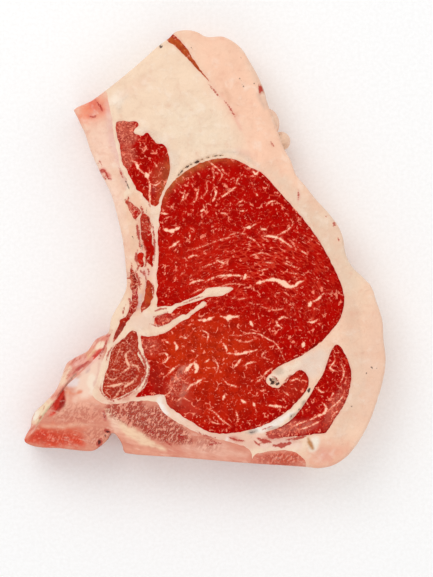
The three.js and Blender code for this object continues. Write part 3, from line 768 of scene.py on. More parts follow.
def stroke(width, *places):
    """Signed distance in squares to a stroke through the places, negative inside it."""
    return stroke_distance(spots, list(places), width, LAYER_REACH) / SQUARE


def lay_colours(tint, mask, layers):
    """Paints the layers over the tint, one after the other, where the mask is true."""
    ragged_edge = rough_noise(spots, 3.0, 5)
    for colour, strength, soft, ragged, distance in layers:
        edge = distance + ragged * ragged_edge
        share = strength * (1.0 - ease(edge, -soft, soft))
        share = np.where(mask, share, 0.0)[:, None]
        tint[:] = mix(tint, linear(colour), share)


# Colours laid over each other: colour, strength, softness and raggedness of the edge in squares,
# and the distance to an oval (middle, half-widths, turn in degrees) or a stroke (width, places).
MEAT_LAYERS = [
    ("#b20400", 0.75, 26, 6, oval(292, 235, 46, 60, 38)),
    ("#c21a08", 0.55, 18, 6, oval(195, 262, 38, 36)),
    ("#ae0400", 0.5, 10, 4, oval(300, 300, 30, 22)),
    ("#cc340e", 0.8, 16, 6, oval(205, 350, 52, 34)),
    ("#c62a0a", 0.65, 14, 5, oval(215, 395, 46, 26)),
    ("#b61a08", 0.6, 10, 4, oval(255, 372, 30, 24)),
    ("#b9301c", 0.6, 8, 3, oval(292, 386, 16, 12)),
    ("#b4180c", 0.5, 10, 5, oval(238, 330, 30, 10)),
    ("#b83a28", 0.8, 5, 3, oval(178, 394, 13, 18, 20)),
    ("#d08e7a", 0.6, 2, 5, stroke(8, (186, 368), (177, 378), (171, 392))),
    ("#cc8470", 0.5, 2, 5, stroke(6, (191, 384), (184, 392), (178, 402))),
    ("#a82418", 0.7, 4, 3, oval(159, 378, 8, 16)),
    ("#c03c2c", 0.6, 5, 3, oval(190, 408, 10, 9)),
    ("#b0140a", 0.6, 4, 2, stroke(6, (205, 398), (218, 408), (230, 412))),
    ("#a01008", 0.5, 5, 2, stroke(5, (184, 326), (186, 345), (190, 356))),
    ("#c8604a", 0.45, 5, 3, oval(150, 345, 9, 8)),
    ("#cc5846", 0.55, 4, 3, oval(166, 320, 12, 4)),
    ("#c8604c", 0.8, 3, 3, oval(126, 132, 11, 14)),
    ("#b0403a", 0.6, 3, 2, oval(121, 137, 4, 5)),
    ("#b57060", 0.7, 3, 2, oval(122, 119, 8, 4)),
    ("#c65a44", 0.7, 3, 3, oval(127, 157, 8, 10, 20)),
    ("#bb4a2e", 0.8, 5, 3, oval(162, 176, 8, 14, 14)),
    ("#a4483e", 0.6, 3, 3, oval(153, 189, 4, 4)),
    ("#9c0600", 0.6, 4, 3, oval(145, 152, 10, 12, 20)),
    ("#cc140c", 0.5, 3, 2, stroke(4, (124, 166), (133, 181), (141, 193))),
    ("#ae2c16", 0.85, 5, 3, oval(122, 365, 16, 30)),
    ("#c05a2a", 0.95, 2, 1, stroke(16, (168, 36), (186, 56), (208, 80))),
    ("#a83c1c", 0.6, 1.6, 1, stroke(2.5, (170, 37), (184, 53), (200, 70))),
    ("#a82c20", 0.6, 3, 2, oval(131, 345, 5, 11)),
    ("#a83020", 0.6, 3, 2, oval(118, 388, 9, 7)),
    ("#a22018", 0.5, 3, 2, oval(131, 373, 7, 6)),
    ("#d08a76", 0.45, 4, 3, oval(290, 428, 26, 6, -8)),
    ("#c86a56", 0.55, 4, 2, oval(334, 410, 7, 20, 24)),
    ("#a80c08", 0.6, 4, 2, oval(313, 408, 8, 9)),
    ("#a60a06", 0.5, 4, 2, oval(336, 372, 8, 20, -10)),
    ("#c4402e", 0.5, 3, 2, stroke(6, (347, 372), (346, 392), (336, 412), (324, 428))),
    ("#dc7862", 0.7, 2, 2, stroke(4, (128, 200), (131, 208), (133, 216))),
    ("#c41a10", 0.9, 2, 2, stroke(7, (134, 204), (137, 212), (138, 219))),
    ("#c03422", 0.8, 2, 3, stroke(8, (144, 214), (146, 222), (147, 230))),
    ("#b40800", 0.95, 3, 2, stroke(10, (149, 232), (150, 248), (150, 266))),
    ("#c81808", 0.9, 2, 2, stroke(7, (139, 252), (141, 260), (141, 267))),
    ("#c0402c", 0.8, 2, 2, stroke(6, (148, 280), (149, 285), (149, 288))),
    ("#c04a22", 0.85, 2, 2, stroke(7, (149, 286), (149, 297), (146, 306))),
    ("#d86a50", 0.8, 2, 2, stroke(5, (146, 306), (143, 312))),
    ("#dd7658", 0.85, 2, 2, stroke(6, (128, 271), (129, 280), (132, 288))),
    ("#8c100c", 0.8, 1.6, 2, stroke(4, (133, 273), (136, 280), (138, 288))),
    ("#b4303a", 0.8, 2, 3, stroke(6, (135, 288), (135, 296), (133, 303))),
    ("#d4604e", 0.7, 2, 3, stroke(5, (129, 300), (128, 308))),
    ("#a00400", 0.95, 2, 2, stroke(8, (134, 306), (131, 314), (126, 321))),
    ("#8a3a32", 0.8, 2, 1, stroke(4, (124, 323), (120, 331), (115, 338))),
]
FAT_LAYERS = [
    ("#efb9a0", 0.7, 3, 3, stroke(9, (98, 384), (101, 396), (116, 402), (134, 397), (148, 392))),
    ("#c8584a", 0.55, 1.6, 3, stroke(3, (103, 396), (112, 402), (126, 398), (138, 391))),
    ("#f2bb9b", 0.75, 6, 4, stroke(30, (134, 196), (142, 240), (142, 290), (136, 316))),
    ("#f8d2bc", 0.8, 2, 1.5, stroke(7, (153, 208), (154, 222), (156, 240), (155.4, 270), (154, 300))),
    ("#f4dcc4", 0.7, 2, 1, stroke(5, (152, 206), (153, 218), (154.5, 230))),
    ("#ee9878", 0.85, 1.2, 1, stroke(2.6, (139, 221), (142, 232), (144, 246), (147, 262))),
    ("#e8b8a8", 0.8, 3, 3, oval(145, 273, 6, 5)),
    ("#ddd0ca", 0.8, 2, 1, stroke(5, (141, 295), (139.5, 301), (138, 307))),
    ("#eec3ab", 0.6, 5, 3, oval(144, 321, 12, 8)),
    ("#fccbae", 0.9, 16, 3, stroke(40, (205, 45), (240, 92), (262, 150), (300, 205))),
    ("#f8c4a8", 0.6, 8, 4, stroke(8, (190, 34), (222, 40), (246, 60))),
    ("#f3d4b8", 0.8, 10, 3, stroke(22, (322, 220), (345, 262), (362, 300))),
    ("#e9cbb2", 0.85, 9, 3, stroke(22, (268, 168), (312, 218), (342, 272), (354, 320))),
    ("#e6c0a6", 0.8, 7, 3, stroke(14, (340, 296), (350, 318), (352, 344))),
    ("#ebc9b0", 0.75, 9, 3, stroke(26, (352, 340), (356, 380), (338, 436))),
    ("#f0c6ad", 0.8, 10, 4, stroke(20, (374, 310), (376, 370), (362, 424))),
    ("#eca98e", 0.9, 9, 5, oval(326, 456, 24, 13, -14)),
    ("#e8a090", 0.6, 5, 4, oval(324, 455, 5, 7)),
    ("#ead3c2", 0.85, 6, 3, oval(312, 364, 20, 12, -42)),
    ("#f3dcc2", 0.6, 12, 4, oval(200, 128, 44, 26, 20)),
    ("#fbe9d6", 0.8, 4, 3, oval(118, 98, 11, 7, -28)),
    ("#d9c2ae", 0.45, 4, 3, stroke(4, (126, 95), (121, 104), (120, 112))),
    ("#e6cdb8", 0.6, 4, 3, stroke(9, (140, 128), (160, 140), (172, 156), (168, 186))),
    ("#f4c8ae", 0.5, 6, 3, stroke(7, (150, 78), (120, 96))),
    ("#e9cdb6", 0.4, 5, 2, stroke(3, (178, 44), (196, 64), (220, 92))),
    ("#f0a894", 0.55, 3, 2, stroke(3, (209, 81), (222, 97), (232, 112), (241, 130))),
    ("#e59a80", 0.55, 3, 2, oval(236, 115, 3, 4)),
    ("#d9a080", 0.5, 3, 2, stroke(4, (224, 88), (228, 96), (229, 103))),
    ("#e07a5a", 0.7, 2, 1, oval(225, 37, 4, 1.6)),
    ("#e6c2aa", 0.6, 4, 2, stroke(6, (246, 60), (256, 76), (262, 92), (265, 108))),
    ("#b5562c", 0.95, 1.6, 1, stroke(3.4, (260, 83), (261, 88), (260, 94))),
    ("#c9a795", 0.6, 3, 1, stroke(3, (258, 94), (262, 102), (265, 108))),
    ("#e7a898", 0.7, 2, 1, stroke(2.6, (298, 189), (299, 195), (298, 201))),
    ("#e2b29c", 0.5, 2, 1, stroke(2, (330, 214), (334, 222), (336, 228))),
    ("#dcb8a0", 0.4, 2, 1, stroke(1.6, (352, 294), (358, 320), (362, 348), (361, 372))),
    ("#e3c4ae", 0.5, 3, 1, stroke(3, (366, 374), (362, 388), (354, 400))),
    ("#d2bba8", 0.6, 3, 2, stroke(4, (222, 152), (238, 153), (250, 160), (262, 170))),
    ("#e8b4a2", 0.5, 3, 2, oval(244, 153, 8, 3, 25)),
    ("#efcfba", 0.7, 4, 2, stroke(14, (128, 326), (144, 321), (160, 320))),
    ("#f6d5bd", 0.8, 3, 1, stroke(7, (109, 332), (103, 352), (97, 374), (93, 394))),
    ("#c25a50", 0.6, 2, 2, stroke(3, (112, 330), (106, 345), (101, 360))),
    ("#e8bfae", 0.8, 5, 2, stroke(18, (168, 402), (190, 424), (214, 438), (250, 444))),
    ("#f6cdb6", 0.9, 3, 1, stroke(9, (160, 397), (166, 411), (186, 424), (206, 433))),
    ("#efd0c0", 0.8, 3, 1, stroke(6, (138, 398), (152, 394), (162, 394), (163, 404))),
    # A painted highlight: the white gloss on the fat in the wedge under the eye.
    ("#fbf2ea", 0.9, 2, 1.4, stroke(6, (160, 397), (159, 403), (163, 410), (170, 415))),
    ("#eebaa6", 0.8, 5, 2, oval(252, 440, 40, 8)),
    ("#cc5448", 0.75, 2, 2, stroke(4, (230, 437), (238, 440), (245, 441))),
    ("#c86058", 0.7, 2, 2, stroke(5, (206, 446), (214, 444), (222, 442))),
    ("#cf5a4c", 0.7, 2, 2, oval(282, 440, 18, 4, 3)),
    ("#f2cdbd", 0.7, 3, 2, stroke(9, (262, 447), (282, 444), (302, 446))),
    ("#f8ece4", 0.9, 1.4, 1, stroke(2.4, (228, 436), (227, 440), (226, 445))),
    ("#f7ece2", 0.9, 2, 1, stroke(8, (252, 430), (266, 428), (280, 420), (294, 412))),
    ("#a89a92", 0.85, 1.6, 1.2, stroke(5, (246, 433), (252, 432), (257, 431))),
    ("#a08e86", 0.8, 1.6, 1.4, stroke(3, (268, 429), (274, 428), (279, 427))),
    ("#a49280", 0.75, 1.6, 2, stroke(4, (289, 420), (293, 416), (297, 412))),
    ("#9c8a74", 0.75, 1.6, 2, stroke(5, (299, 410), (303, 405), (306, 401))),
    ("#f6ead8", 0.9, 2, 1, oval(314, 444, 5, 8, 20)),
    ("#b8722c", 0.95, 1.6, 1, stroke(4, (308, 438), (310, 443), (313, 449))),
    ("#f4ddc6", 0.9, 2, 1, stroke(9, (268, 380), (280, 376), (290, 368), (300, 362))),
    ("#c4ac98", 0.7, 2, 2, oval(279, 370, 5, 4)),
    ("#c45a50", 0.5, 3, 2, stroke(3, (147, 282), (141, 300), (134, 314))),
    ("#d88a7a", 0.45, 3, 3, stroke(5, (138, 220), (142, 244), (141, 262))),
    ("#e3bcae", 0.6, 3, 2, stroke(5, (141, 276), (146, 282), (150, 300))),
]
RIB_LAYERS = [
    ("#f4835f", 0.95, 9, 4, oval(93, 109, 18, 13, -25)),
    ("#e85a40", 0.85, 3, 3, oval(96, 106, 8, 5, 40)),
    ("#e2563e", 0.85, 2.5, 2, stroke(4, (95, 101), (99, 106), (102, 110))),
    ("#e04a3a", 0.8, 2.5, 1, oval(92, 116, 4, 2.6)),
    ("#d83a28", 0.9, 1.8, 1.4, stroke(5, (102, 169), (107, 174), (111, 180))),
    ("#fad0ba", 0.7, 9, 4, oval(102, 142, 14, 22, -18)),
    ("#fcd8c6", 0.7, 8, 3, stroke(10, (106, 176), (114, 200), (119, 224))),
    ("#e8b8ae", 0.7, 4, 2, stroke(8, (107, 102), (110, 124), (115, 150), (122, 170))),
    ("#f7c0a4", 0.6, 3, 1, stroke(3, (88, 146), (98, 170), (108, 190), (114, 212))),
    ("#d9b4a8", 0.6, 3, 2, stroke(5, (120, 168), (126, 184), (130, 196))),
    ("#b8705e", 0.5, 2, 2, stroke(2, (124, 172), (129, 184), (132, 196))),
    ("#f3c2a8", 0.7, 4, 2, stroke(8, (122, 236), (126, 262), (128, 288), (122, 304))),
    ("#d4685a", 0.6, 2, 2, stroke(4, (129, 270), (132, 284), (134, 300))),
    ("#e0a08c", 0.5, 3, 2, stroke(4, (131, 226), (135, 240), (137, 254))),
]
BONE_LAYERS = [
    ("#f1b298", 0.9, 8, 4, oval(84, 402, 24, 12, -20)),
    ("#f6d3bd", 0.95, 4, 3, oval(90, 378, 24, 12, -56)),
    ("#f4c0b2", 0.8, 3, 3, stroke(7, (70, 376), (86, 366), (102, 350))),
    ("#f8e2cc", 0.9, 2, 2, stroke(8, (92, 374), (92, 384), (93, 393))),
    # A painted highlight: the shiny bluish-white spot on the wet skin of the vertebra.
    ("#ecdcd8", 0.85, 2, 2, oval(73, 382, 7, 5)),
    # Painted shade: the grey-lilac line under the upper folds of the vertebra's skin.
    ("#c89c98", 0.7, 1.4, 2, stroke(2, (90, 369), (84, 374), (77, 378))),
    ("#e0a898", 0.6, 1.6, 2, stroke(3, (99, 362), (98, 374), (94, 386))),
    ("#d8a096", 0.6, 2, 2, stroke(3, (74, 372), (84, 369), (93, 362))),
    ("#e47c5a", 0.85, 2, 2, stroke(5, (66, 392), (74, 394), (82, 391))),
    ("#e0937a", 0.8, 6, 4, oval(84, 418, 28, 9, -4)),
    ("#dc6c4e", 0.8, 5, 4, oval(58, 434, 36, 9, 3)),
    ("#de4424", 0.95, 4, 4, oval(54, 439, 32, 8, 3)),
    ("#e03a22", 0.8, 3, 3, oval(42, 436, 9, 4)),
    ("#e0401c", 0.8, 2, 2, oval(78, 441, 5, 3)),
    ("#e39a80", 0.8, 5, 3, oval(96, 436, 12, 10)),
    ("#e68a6c", 0.8, 3, 2, stroke(5, (27, 438), (31, 430), (35, 422))),
    ("#efb496", 0.7, 2, 2, stroke(4, (42, 426), (60, 427), (80, 424), (94, 425))),
    ("#f2bca0", 0.8, 2, 1.4, stroke(3, (52, 418), (62, 412), (67, 402), (68, 392))),
    ("#d47a64", 0.95, 4, 3, stroke(25, (112, 411), (135, 413), (154, 422), (182, 438))),
    ("#bc5a44", 0.7, 5, 4, stroke(12, (128, 416), (150, 428), (176, 440))),
    ("#b03a30", 0.9, 1.6, 2, stroke(5, (146, 427), (151, 431), (154, 434))),
    ("#b41c14", 0.95, 1.4, 1.4, stroke(5, (179, 436), (182, 438), (183, 440))),
    ("#cc6256", 0.7, 2, 2, stroke(4, (154, 412), (160, 416), (164, 420))),
    ("#f5d0ae", 0.95, 2, 1.5, stroke(10, (107, 410), (118, 424), (136, 436), (166, 451))),
    ("#efae94", 0.85, 2, 1.5, stroke(6, (112, 426), (124, 436), (140, 446))),
    ("#eaa48a", 0.9, 4, 1, stroke(8, (124, 448), (134, 450), (170, 456))),
    ("#e2917c", 0.6, 3, 2, stroke(5, (160, 452), (190, 450), (222, 452))),
    ("#efb9a2", 0.85, 5, 2, stroke(12, (184, 448), (214, 450), (246, 456))),
    ("#e9a690", 0.7, 3, 1, stroke(4, (180, 456), (216, 459), (250, 461))),
    ("#c05048", 0.85, 2, 1.4, stroke(3.5, (103, 411), (106, 420))),
    ("#f4c8b0", 0.8, 3, 2, oval(114, 422, 5, 9, -20)),
    ("#c8a070", 0.6, 1.6, 1, stroke(2.5, (101, 449), (106, 442), (110, 436))),
    ("#e0301e", 0.95, 2, 1.4, stroke(10, (62, 391), (58, 404), (50, 416))),
    ("#8c0a04", 0.85, 1.6, 1.4, stroke(5, (64, 397), (61, 406), (56, 412))),
    ("#f0a28c", 0.7, 1.4, 1.4, stroke(3, (46, 414), (51, 412), (54, 409))),
    ("#da6044", 0.9, 3, 3, oval(284, 459, 20, 6, -2)),
    ("#da7862", 0.6, 3, 3, oval(262, 460, 12, 4)),
]
LINING_LAYERS = [
    ("#e48c78", 0.8, 5, 3, stroke(14, (104, 338), (84, 356), (70, 368))),
    ("#d0544a", 0.85, 1.6, 2, stroke(3, (107, 336), (98, 340), (92, 347))),
    ("#f2a898", 0.8, 1.6, 2, stroke(3, (104, 335), (96, 338), (90, 344))),
    ("#f6dcc0", 0.95, 1.6, 1.5, stroke(6, (104, 342), (100, 346), (96, 349))),
    ("#dc3624", 0.98, 1.6, 2, stroke(9, (103, 351), (98, 355), (95, 359))),
    ("#e8c090", 0.8, 1.6, 2, stroke(4, (94, 350), (90, 355), (87, 360))),
    ("#c06a60", 0.7, 1.6, 2, stroke(2.5, (92, 361), (84, 366), (77, 372))),
    ("#eeb0a0", 0.8, 2, 2, stroke(5, (87, 358), (80, 362), (73, 366))),
    ("#b84e44", 0.7, 1.4, 1.5, stroke(2, (86, 364), (78, 368), (72, 374))),
    ("#f4d2b4", 0.9, 2, 2, stroke(8, (70, 368), (65, 376), (60, 386))),
    ("#e09a88", 0.8, 1.4, 1.5, stroke(2.5, (66, 366), (62, 374), (58, 384))),
    ("#7c5844", 0.8, 1.2, 1, stroke(2.2, (76, 374), (70, 380), (65, 387), (60, 394))),
    ("#eba28c", 0.8, 2, 2, stroke(6, (60, 388), (54, 396), (47, 405))),
    ("#f4dcb8", 0.9, 2, 1.5, stroke(8, (52, 402), (42, 412), (34, 424))),
    ("#faf0e0", 0.8, 1.6, 1, stroke(5, (38, 411), (33, 419), (30, 427))),
    ("#9c9068", 0.6, 1.2, 1, stroke(2, (56, 400), (46, 411), (39, 421), (35, 428))),
    ("#ea9078", 0.8, 3, 2, stroke(6, (30, 434), (26, 440))),
]

# The ground colour of each kind of tissue, and what is laid over it.
FACE_COLOURS = {
    "lean": ("#b40500", MEAT_LAYERS), "dull_lean": ("#b02c1a", MEAT_LAYERS),
    "inner_fat": ("#f7d9bd", FAT_LAYERS), "outer_fat": ("#f8d0b4", FAT_LAYERS),
    "rib_fat": ("#f6cfb4", RIB_LAYERS), "bone": ("#dd9078", BONE_LAYERS),
    "lining": ("#e0907c", LINING_LAYERS),
}


def paint_tissue():
    """The colour of every point of the cut face, per kind of tissue: the layers, then meat that
    browned at the air on its upper rim, painted shade along the meat's seams on the right of the plan, and
    fat that is pinker at its seams."""
    painted = {}
    # Closeness to a muscle seam: it carries the painted shade on meat and the pink on fat.
    near_seam_shade_and_pink = 1.0 - ease(muscle_seam, 0.0, 1.6)
    for kind, (ground, layers) in FACE_COLOURS.items():
        tint = np.tile(linear(ground), (len(spots), 1))
        lay_colours(tint, touching(tissue_rows((kind,))), layers)
        if kind in MUSCLE_KINDS:
            brown = 1.0 - ease(muscle_seam + 1.8 * rough_noise(spots, 4.0, 31), 0.0, 4.8)
            browned = oval_share(12, 193, 172, 42, 24, -32)
            tint = mix(tint, linear("#ba6438"), (0.85 * brown * browned)[:, None])
            # Painted shade: the meat darkens along its seams on the right of the plan.
            right = ease(spots[:, 0] / SQUARE + GRID_MIDDLE[0], 262, 285)
            tint = mix(tint, linear("#7e0a06"), (0.55 * near_seam_shade_and_pink * right)[:, None])
        elif kind in CUT_FAT_KINDS:
            pinker = near_seam_shade_and_pink * ease(rough_noise(spots, 4.0, 33), -0.6, 0.5)
            tint = mix(tint, linear("#e2a590"), (0.55 * pinker)[:, None])
        painted[kind] = tint
    return painted


paint = paint_tissue()

# Spongy bone, and the redder marrow under the vertebra.
spongy = np.maximum.reduce([
    1.0 - ease(stroke(24, (108, 409), (128, 411), (150, 420), (170, 431), (190, 441)), -3, 3),
    0.4 * oval_share(6, 80, 414, 26, 10, -4),
    0.4 * oval_share(4, 96, 436, 12, 9),
    0.45 * oval_share(5, 54, 438, 30, 7, 3),
    0.6 * oval_share(3, 280, 459, 24, 6, -2),
    0.5 * oval_share(4, 205, 444, 14, 6, 15),
])

# The vertebra's part that still has its wet skin.
skinned = oval_share(5, 88, 380, 28, 13, -52)

# Where the cut is torn and granular.
torn_share = np.maximum.reduce([
    0.9 * oval_share(3, 126, 131, 12, 15), 0.7 * oval_share(4, 127, 157, 8, 12, 20),
    0.9 * oval_share(2, 133, 208, 6, 13, -25), 0.9 * oval_share(2, 133, 290, 8, 26, 8),
    0.8 * oval_share(3, 254, 163, 9, 8, 30), 0.8 * oval_share(5, 178, 383, 8, 17, 30),
    0.55 * oval_share(6, 122, 366, 18, 34), 0.8 * oval_share(4, 282, 432, 26, 6, -8),
    0.6 * oval_share(4, 340, 404, 7, 24, 20), 0.7 * oval_share(4, 166, 320, 14, 5),
    0.5 * oval_share(4, 150, 347, 10, 8), 0.5 * oval_share(3, 147, 224, 5, 10),
])

# Where fibres run round the middle of the eye, and where they run out to its rim.
FIBRE_CENTRE = (247, 350)
ARC_LENGTH = 52.0        # radius at which lengths along the arcs are true
from_centre = spots - place([FIBRE_CENTRE])[0]
away = np.linalg.norm(from_centre, axis=1)
around = np.arctan2(from_centre[:, 1], from_centre[:, 0])
arc_share = np.maximum(oval_share(14, 252, 268, 62, 34), 0.8 * oval_share(10, 300, 270, 36, 50))
ray_share = oval_share(14, 205, 190, 44, 30, -30)

# What the materials read: the fibres' own axes, distances to marks, and shares.
FIBRE = np.column_stack((away, ARC_LENGTH * np.cos(around), ARC_LENGTH * np.sin(around)))
DISTANCES = {"streak": streak, "dark_mark": dark_mark, "red_mark": red_mark, "seam": muscle_seam}
SHARES = {"torn": torn_share, "arc_share": arc_share, "ray_share": ray_share}
FAR_FROM_MARKS = 12.0    # added on the side, where the face's marks end

# ---- relief of the cut face ------------------------------------------------------------------------


def relief():
    """Small heights of the cut face above its long waves."""
    x, y = spots[:, 0], spots[:, 1]
    dip = -SEAM_DIP * (1.0 - ease(any_seam, 0.0, 1.6))
    crown = -SEAM_DIP + (MUSCLE_CROWN + SEAM_DIP) * ease(muscle_seam, 0.0, CROWN_REACH)
    fibres = 0.10 * rough_noise(spots, 2.6, 3) + 0.08 * soft_noise(spots, 1.3, 7)
    marbling = MARBLING_RISE * (1.0 - ease(streak, -0.6, 0.5))
    meat = crown + (fibres + marbling) * ease(muscle_seam, 0.0, 2.0)

    taper = ease(any_seam, 0.3, 3.5)
    lobes = 0.3 * np.sin(x / 6.1 + 0.5) * np.sin(y / 7.3) + 0.2 * np.sin((x - y) / 4.2)
    knobbly = oval_share(16, 198, 132, 40, 26, 20)
    small, large = np.abs(rough_noise(spots, 3.4, 19)), np.abs(soft_noise(spots, 6.5, 20))
    curds = knobbly * (0.5 * small + 0.7 * large)
    fat = dip + taper * (lobes + curds + 0.16 * rough_noise(spots, 5.0, 13) - 0.06)

    pits = -PIT_DEPTH * spongy * ease(soft_noise(spots, 1.7, 41), -0.1, 0.7)
    bone = dip + ease(any_seam, 0.3, 2.0) * (pits + 0.16 * rough_noise(spots, 4.0, 17))
    wrinkles = 0.22 * rough_noise(spots, 3.6, 29) * ease(any_seam, 0.5, 4.0)

    height = np.where(is_fat, fat, 0.0)
    height = np.where(is_lining, wrinkles, height)
    height = np.where(is_bone, bone, height)
    height = np.where(is_muscle, meat, height)
    return np.where(any_seam < 0.05, -SEAM_DIP, height)


def sink_marks(height):
    """The crease beside the vertebra, the cut vessel and the slit over the eye."""
    line = smooth_line(CREASE, 0.5)
    near = oval_share(1.0, 56, 404, 16, 26, 30) > 0.0
    inside = near & inside_outline(spots, line)
    depth = np.where(inside, distance_to(spots, line), 0.0)
    uneven = CREASE_FLOOR + 1.2 + 0.9 * rough_noise(spots, 3.0, 37)
    height = mix(height, np.minimum(height, uneven), ease(depth, 0.0, 2.4))
    hole = np.linalg.norm(spots - place([VESSEL])[0], axis=1)
    height = height - VESSEL_DEPTH * (1.0 - ease(hole, VESSEL_RADIUS * 0.5, VESSEL_RADIUS * 1.3))
    slit = nearest_stroke(DARK_MARKS[:SLIT_MARKS])
    return height - SLIT_DEPTH * (1.0 - ease(slit, -0.2, 0.7))


top = sink_marks(face_height(spots, is_lining) + relief())
bottom = UNDERSIDE_LIFT + UNDERSIDE_BUMPS * rough_noise(spots, 6.0, 53)

# ---- the side ----------------------------------------------------------------------------------------


def side_levels():
    """Each level's depth under the face, height over the foot, and share between the two bends."""
    upper = [(depth, None, None) for depth in (0.15, 0.4, 0.75, 1.2, 1.7, 2.4, RIM_FALL)]
    middle_count = round(THICKNESS / SIDE_CELL) - 4
    middle = [(None, None, 1.0 - i / middle_count) for i in range(1, middle_count)]
    lower = [(None, height, None) for height in (FOOT_RISE, 2.0, 1.4, 0.9, 0.5, 0.22)]
    return upper + middle + lower


def side_dent(x, y, height):
    """Dents left by hand and knife, shallower on the rib's side and none on sawn bone."""
    wave = (np.sin(x / 11 + height / 6) + np.sin(y / 13 - height / 8 + 1.1)
            + 0.7 * np.sin((x + y) / 5.5 + height / 4))
    rib_side, fat_side = place([(130, 200), (200, 200)])[:, 0]
    share = mix(RIB_SIDE_SHARE, 1.0, ease(x, rib_side, fat_side))
    sawn = sawn_share(np.column_stack((x, y)))
    return share * (1.0 - sawn) * SIDE_HOLLOW / 2 * (1.0 - np.clip(wave / 2, -1.0, 1.0))


def crease_depth(along, z, share):
    """Two long broken creases in the fat of the side."""
    depth = 0.0
    for seed, middle, deepest in ((111, 12.0, 0.9), (121, 22.0, 0.6)):
        spot = np.column_stack((along, np.full(len(along), 1.0)))
        height = middle + 5.0 * soft_noise(spot, 21.0, seed) + 1.2 * soft_noise(spot, 6.0, seed + 1)
        broken = ease(soft_noise(spot, 17.0, seed + 2), -0.25, 0.35)
        depth = depth + deepest * broken * np.exp(-((z - height) / 0.9) ** 2)
    return depth * share


def make_side():
    """Rings of points down the side, as an array of level, rim point and coordinate."""
    line = spots[rim]
    out = outward_turns(line)
    sawn = sawn_share(line)
    rims = mix(FAT_RIM, BONE_RIM, sawn)
    edge = line + out * rims[:, None]
    face = top[rim]
    along = np.concatenate(([0.0], np.cumsum(np.linalg.norm(np.diff(edge, axis=0), axis=1))))
    fat_side = ease(edge[:, 0], *place([(150, 200), (215, 200)])[:, 0]) * (1.0 - sawn)
    rings = []
    for depth, height, share in side_levels():
        if depth is not None:
            z = face - depth
            inset = 1.0 - np.sqrt(1.0 - (1.0 - depth / RIM_FALL) ** 2)
            dent = 0.0
        elif height is not None:
            z = np.full(len(line), height)
            inset = 1.0 - math.sqrt(1.0 - (1.0 - height / FOOT_RISE) ** 2)
            dent = FOOT_DENT * height / FOOT_RISE
        else:
            z = mix(FOOT_RISE, face - RIM_FALL, share)
            inset = 0.0
            dent = np.interp(share, [0.0, 0.27, 0.6, 1.0], [FOOT_DENT, 1.0, 0.8, 0.0])
        hollow = dent * side_dent(edge[:, 0], edge[:, 1], z)
        rough = np.column_stack((edge, z))
        bumps = 0.30 * rough_noise(rough, 7.0, 61) + 0.12 * soft_noise(rough, 2.4, 67)
        bumps = bumps * (1.0 - 0.7 * sawn)
        amount = -inset * rims - hollow + bumps * (1.0 - inset) * (0.4 if depth is not None else 1.0)
        amount = amount - crease_depth(along, z, fat_side * (1.0 - inset))
        lump = lump_reach(edge, out, z)
        amount = LUMP_BLEND * np.logaddexp(amount / LUMP_BLEND, lump / LUMP_BLEND)
        ring = edge + out * amount[:, None]
        rings.append(np.column_stack((ring, z)))
    return np.array(rings)


def lump_reach(edge, out, z):
    """How far a lump of fat pushes the side outwards at each point."""
    reach = np.full(len(edge), -9.0)
    for lump in SIDE_LUMPS:
        middle = place([lump["place"]])[0]
        along = np.array([math.cos(lump["turn"]), math.sin(lump["turn"])])
        beside = np.array([-along[1], along[0]])
        start = np.column_stack(((edge - middle) @ along / lump["along"],
                                 (edge - middle) @ beside / lump["across"],
                                 (z - lump["height"]) / lump["rise"]))
        step = np.column_stack((out @ along / lump["along"], out @ beside / lump["across"],
                                np.zeros(len(edge))))
        a = np.sum(step * step, axis=1)
        b = np.sum(start * step, axis=1)
        c = np.sum(start * start, axis=1) - 1.0
        inner = b * b - a * c
        hit = (-b + np.sqrt(np.maximum(inner, 0.0))) / a
        reach = np.where(inner > 0.0, np.maximum(reach, hit), reach)
    return reach


side = make_side()

# ---- closed bodies -----------------------------------------------------------------------------------

# On the side: the main colour of each kind of tissue, and the colour of its patches.
SIDE_COLOURS = {
    "lean": ("#9c1c12", "#b83c2a"), "dull_lean": ("#a2301e", "#b9604a"),
    "inner_fat": ("#f4d3b6", "#efc1a5"), "outer_fat": ("#f5ceb1", "#efb59b"),
    "rib_fat": ("#efc3ab", "#dc9482"), "bone": ("#dfa48c", "#c67a66"), "lining": ("#e8b09b", "#cf8170"),
}


def side_looks():
    """The colour of every point of the side, and how spongy it is. The borders between colours
    wander on their way down, as seams in meat do."""
    border, alone = border_of(triangles)
    owner = dict(zip(border[:, 0].tolist(), np.tile(tissue, 3)[alone].tolist()))
    rim_kinds = KINDS[[owner[spot] for spot in rim.tolist()]]
    levels, count = side.shape[:2]
    flat = side.reshape(-1, 3)
    depth = (top[rim][None, :] - side[:, :, 2]).ravel()
    wander = (3.2 * soft_noise(flat, 9.0, 131) + 1.4 * soft_noise(flat, 3.2, 132)) * ease(depth, 0.8, 6.0)
    start = np.tile(np.arange(count), levels) + np.round(wander / RIM_SPACING).astype(int)
    patch = ease(rough_noise(flat, 13.0, 71), -0.25, 0.6)[:, None]
    fine = ease(rough_noise(flat, 4.0, 73), 0.0, 0.8)[:, None]
    colour = np.zeros((len(flat), 3))
    for step in (-1, 0, 1):
        kinds = rim_kinds[(start + step) % count]
        main, patchy = (linear_table(kinds, i) for i in (0, 1))
        colour += mix(main, patchy, np.clip(0.8 * patch + 0.5 * fine, 0.0, 1.0)) / 3
    sawn = sawn_share(flat[:, :2])
    sponge = sawn * (rim_kinds[start % count] == "bone") * ease(rough_noise(flat, 15.0, 75), -0.35, 0.15)
    return colour.reshape(levels, count, 3), sponge.reshape(levels, count)


def linear_table(kinds, index):
    """The linear side colour of each kind in a list of kinds."""
    colours = {kind: linear(pair[index]) for kind, pair in SIDE_COLOURS.items()}
    return np.array([colours[kind] for kind in kinds])


side_tint, side_sponge = side_looks()


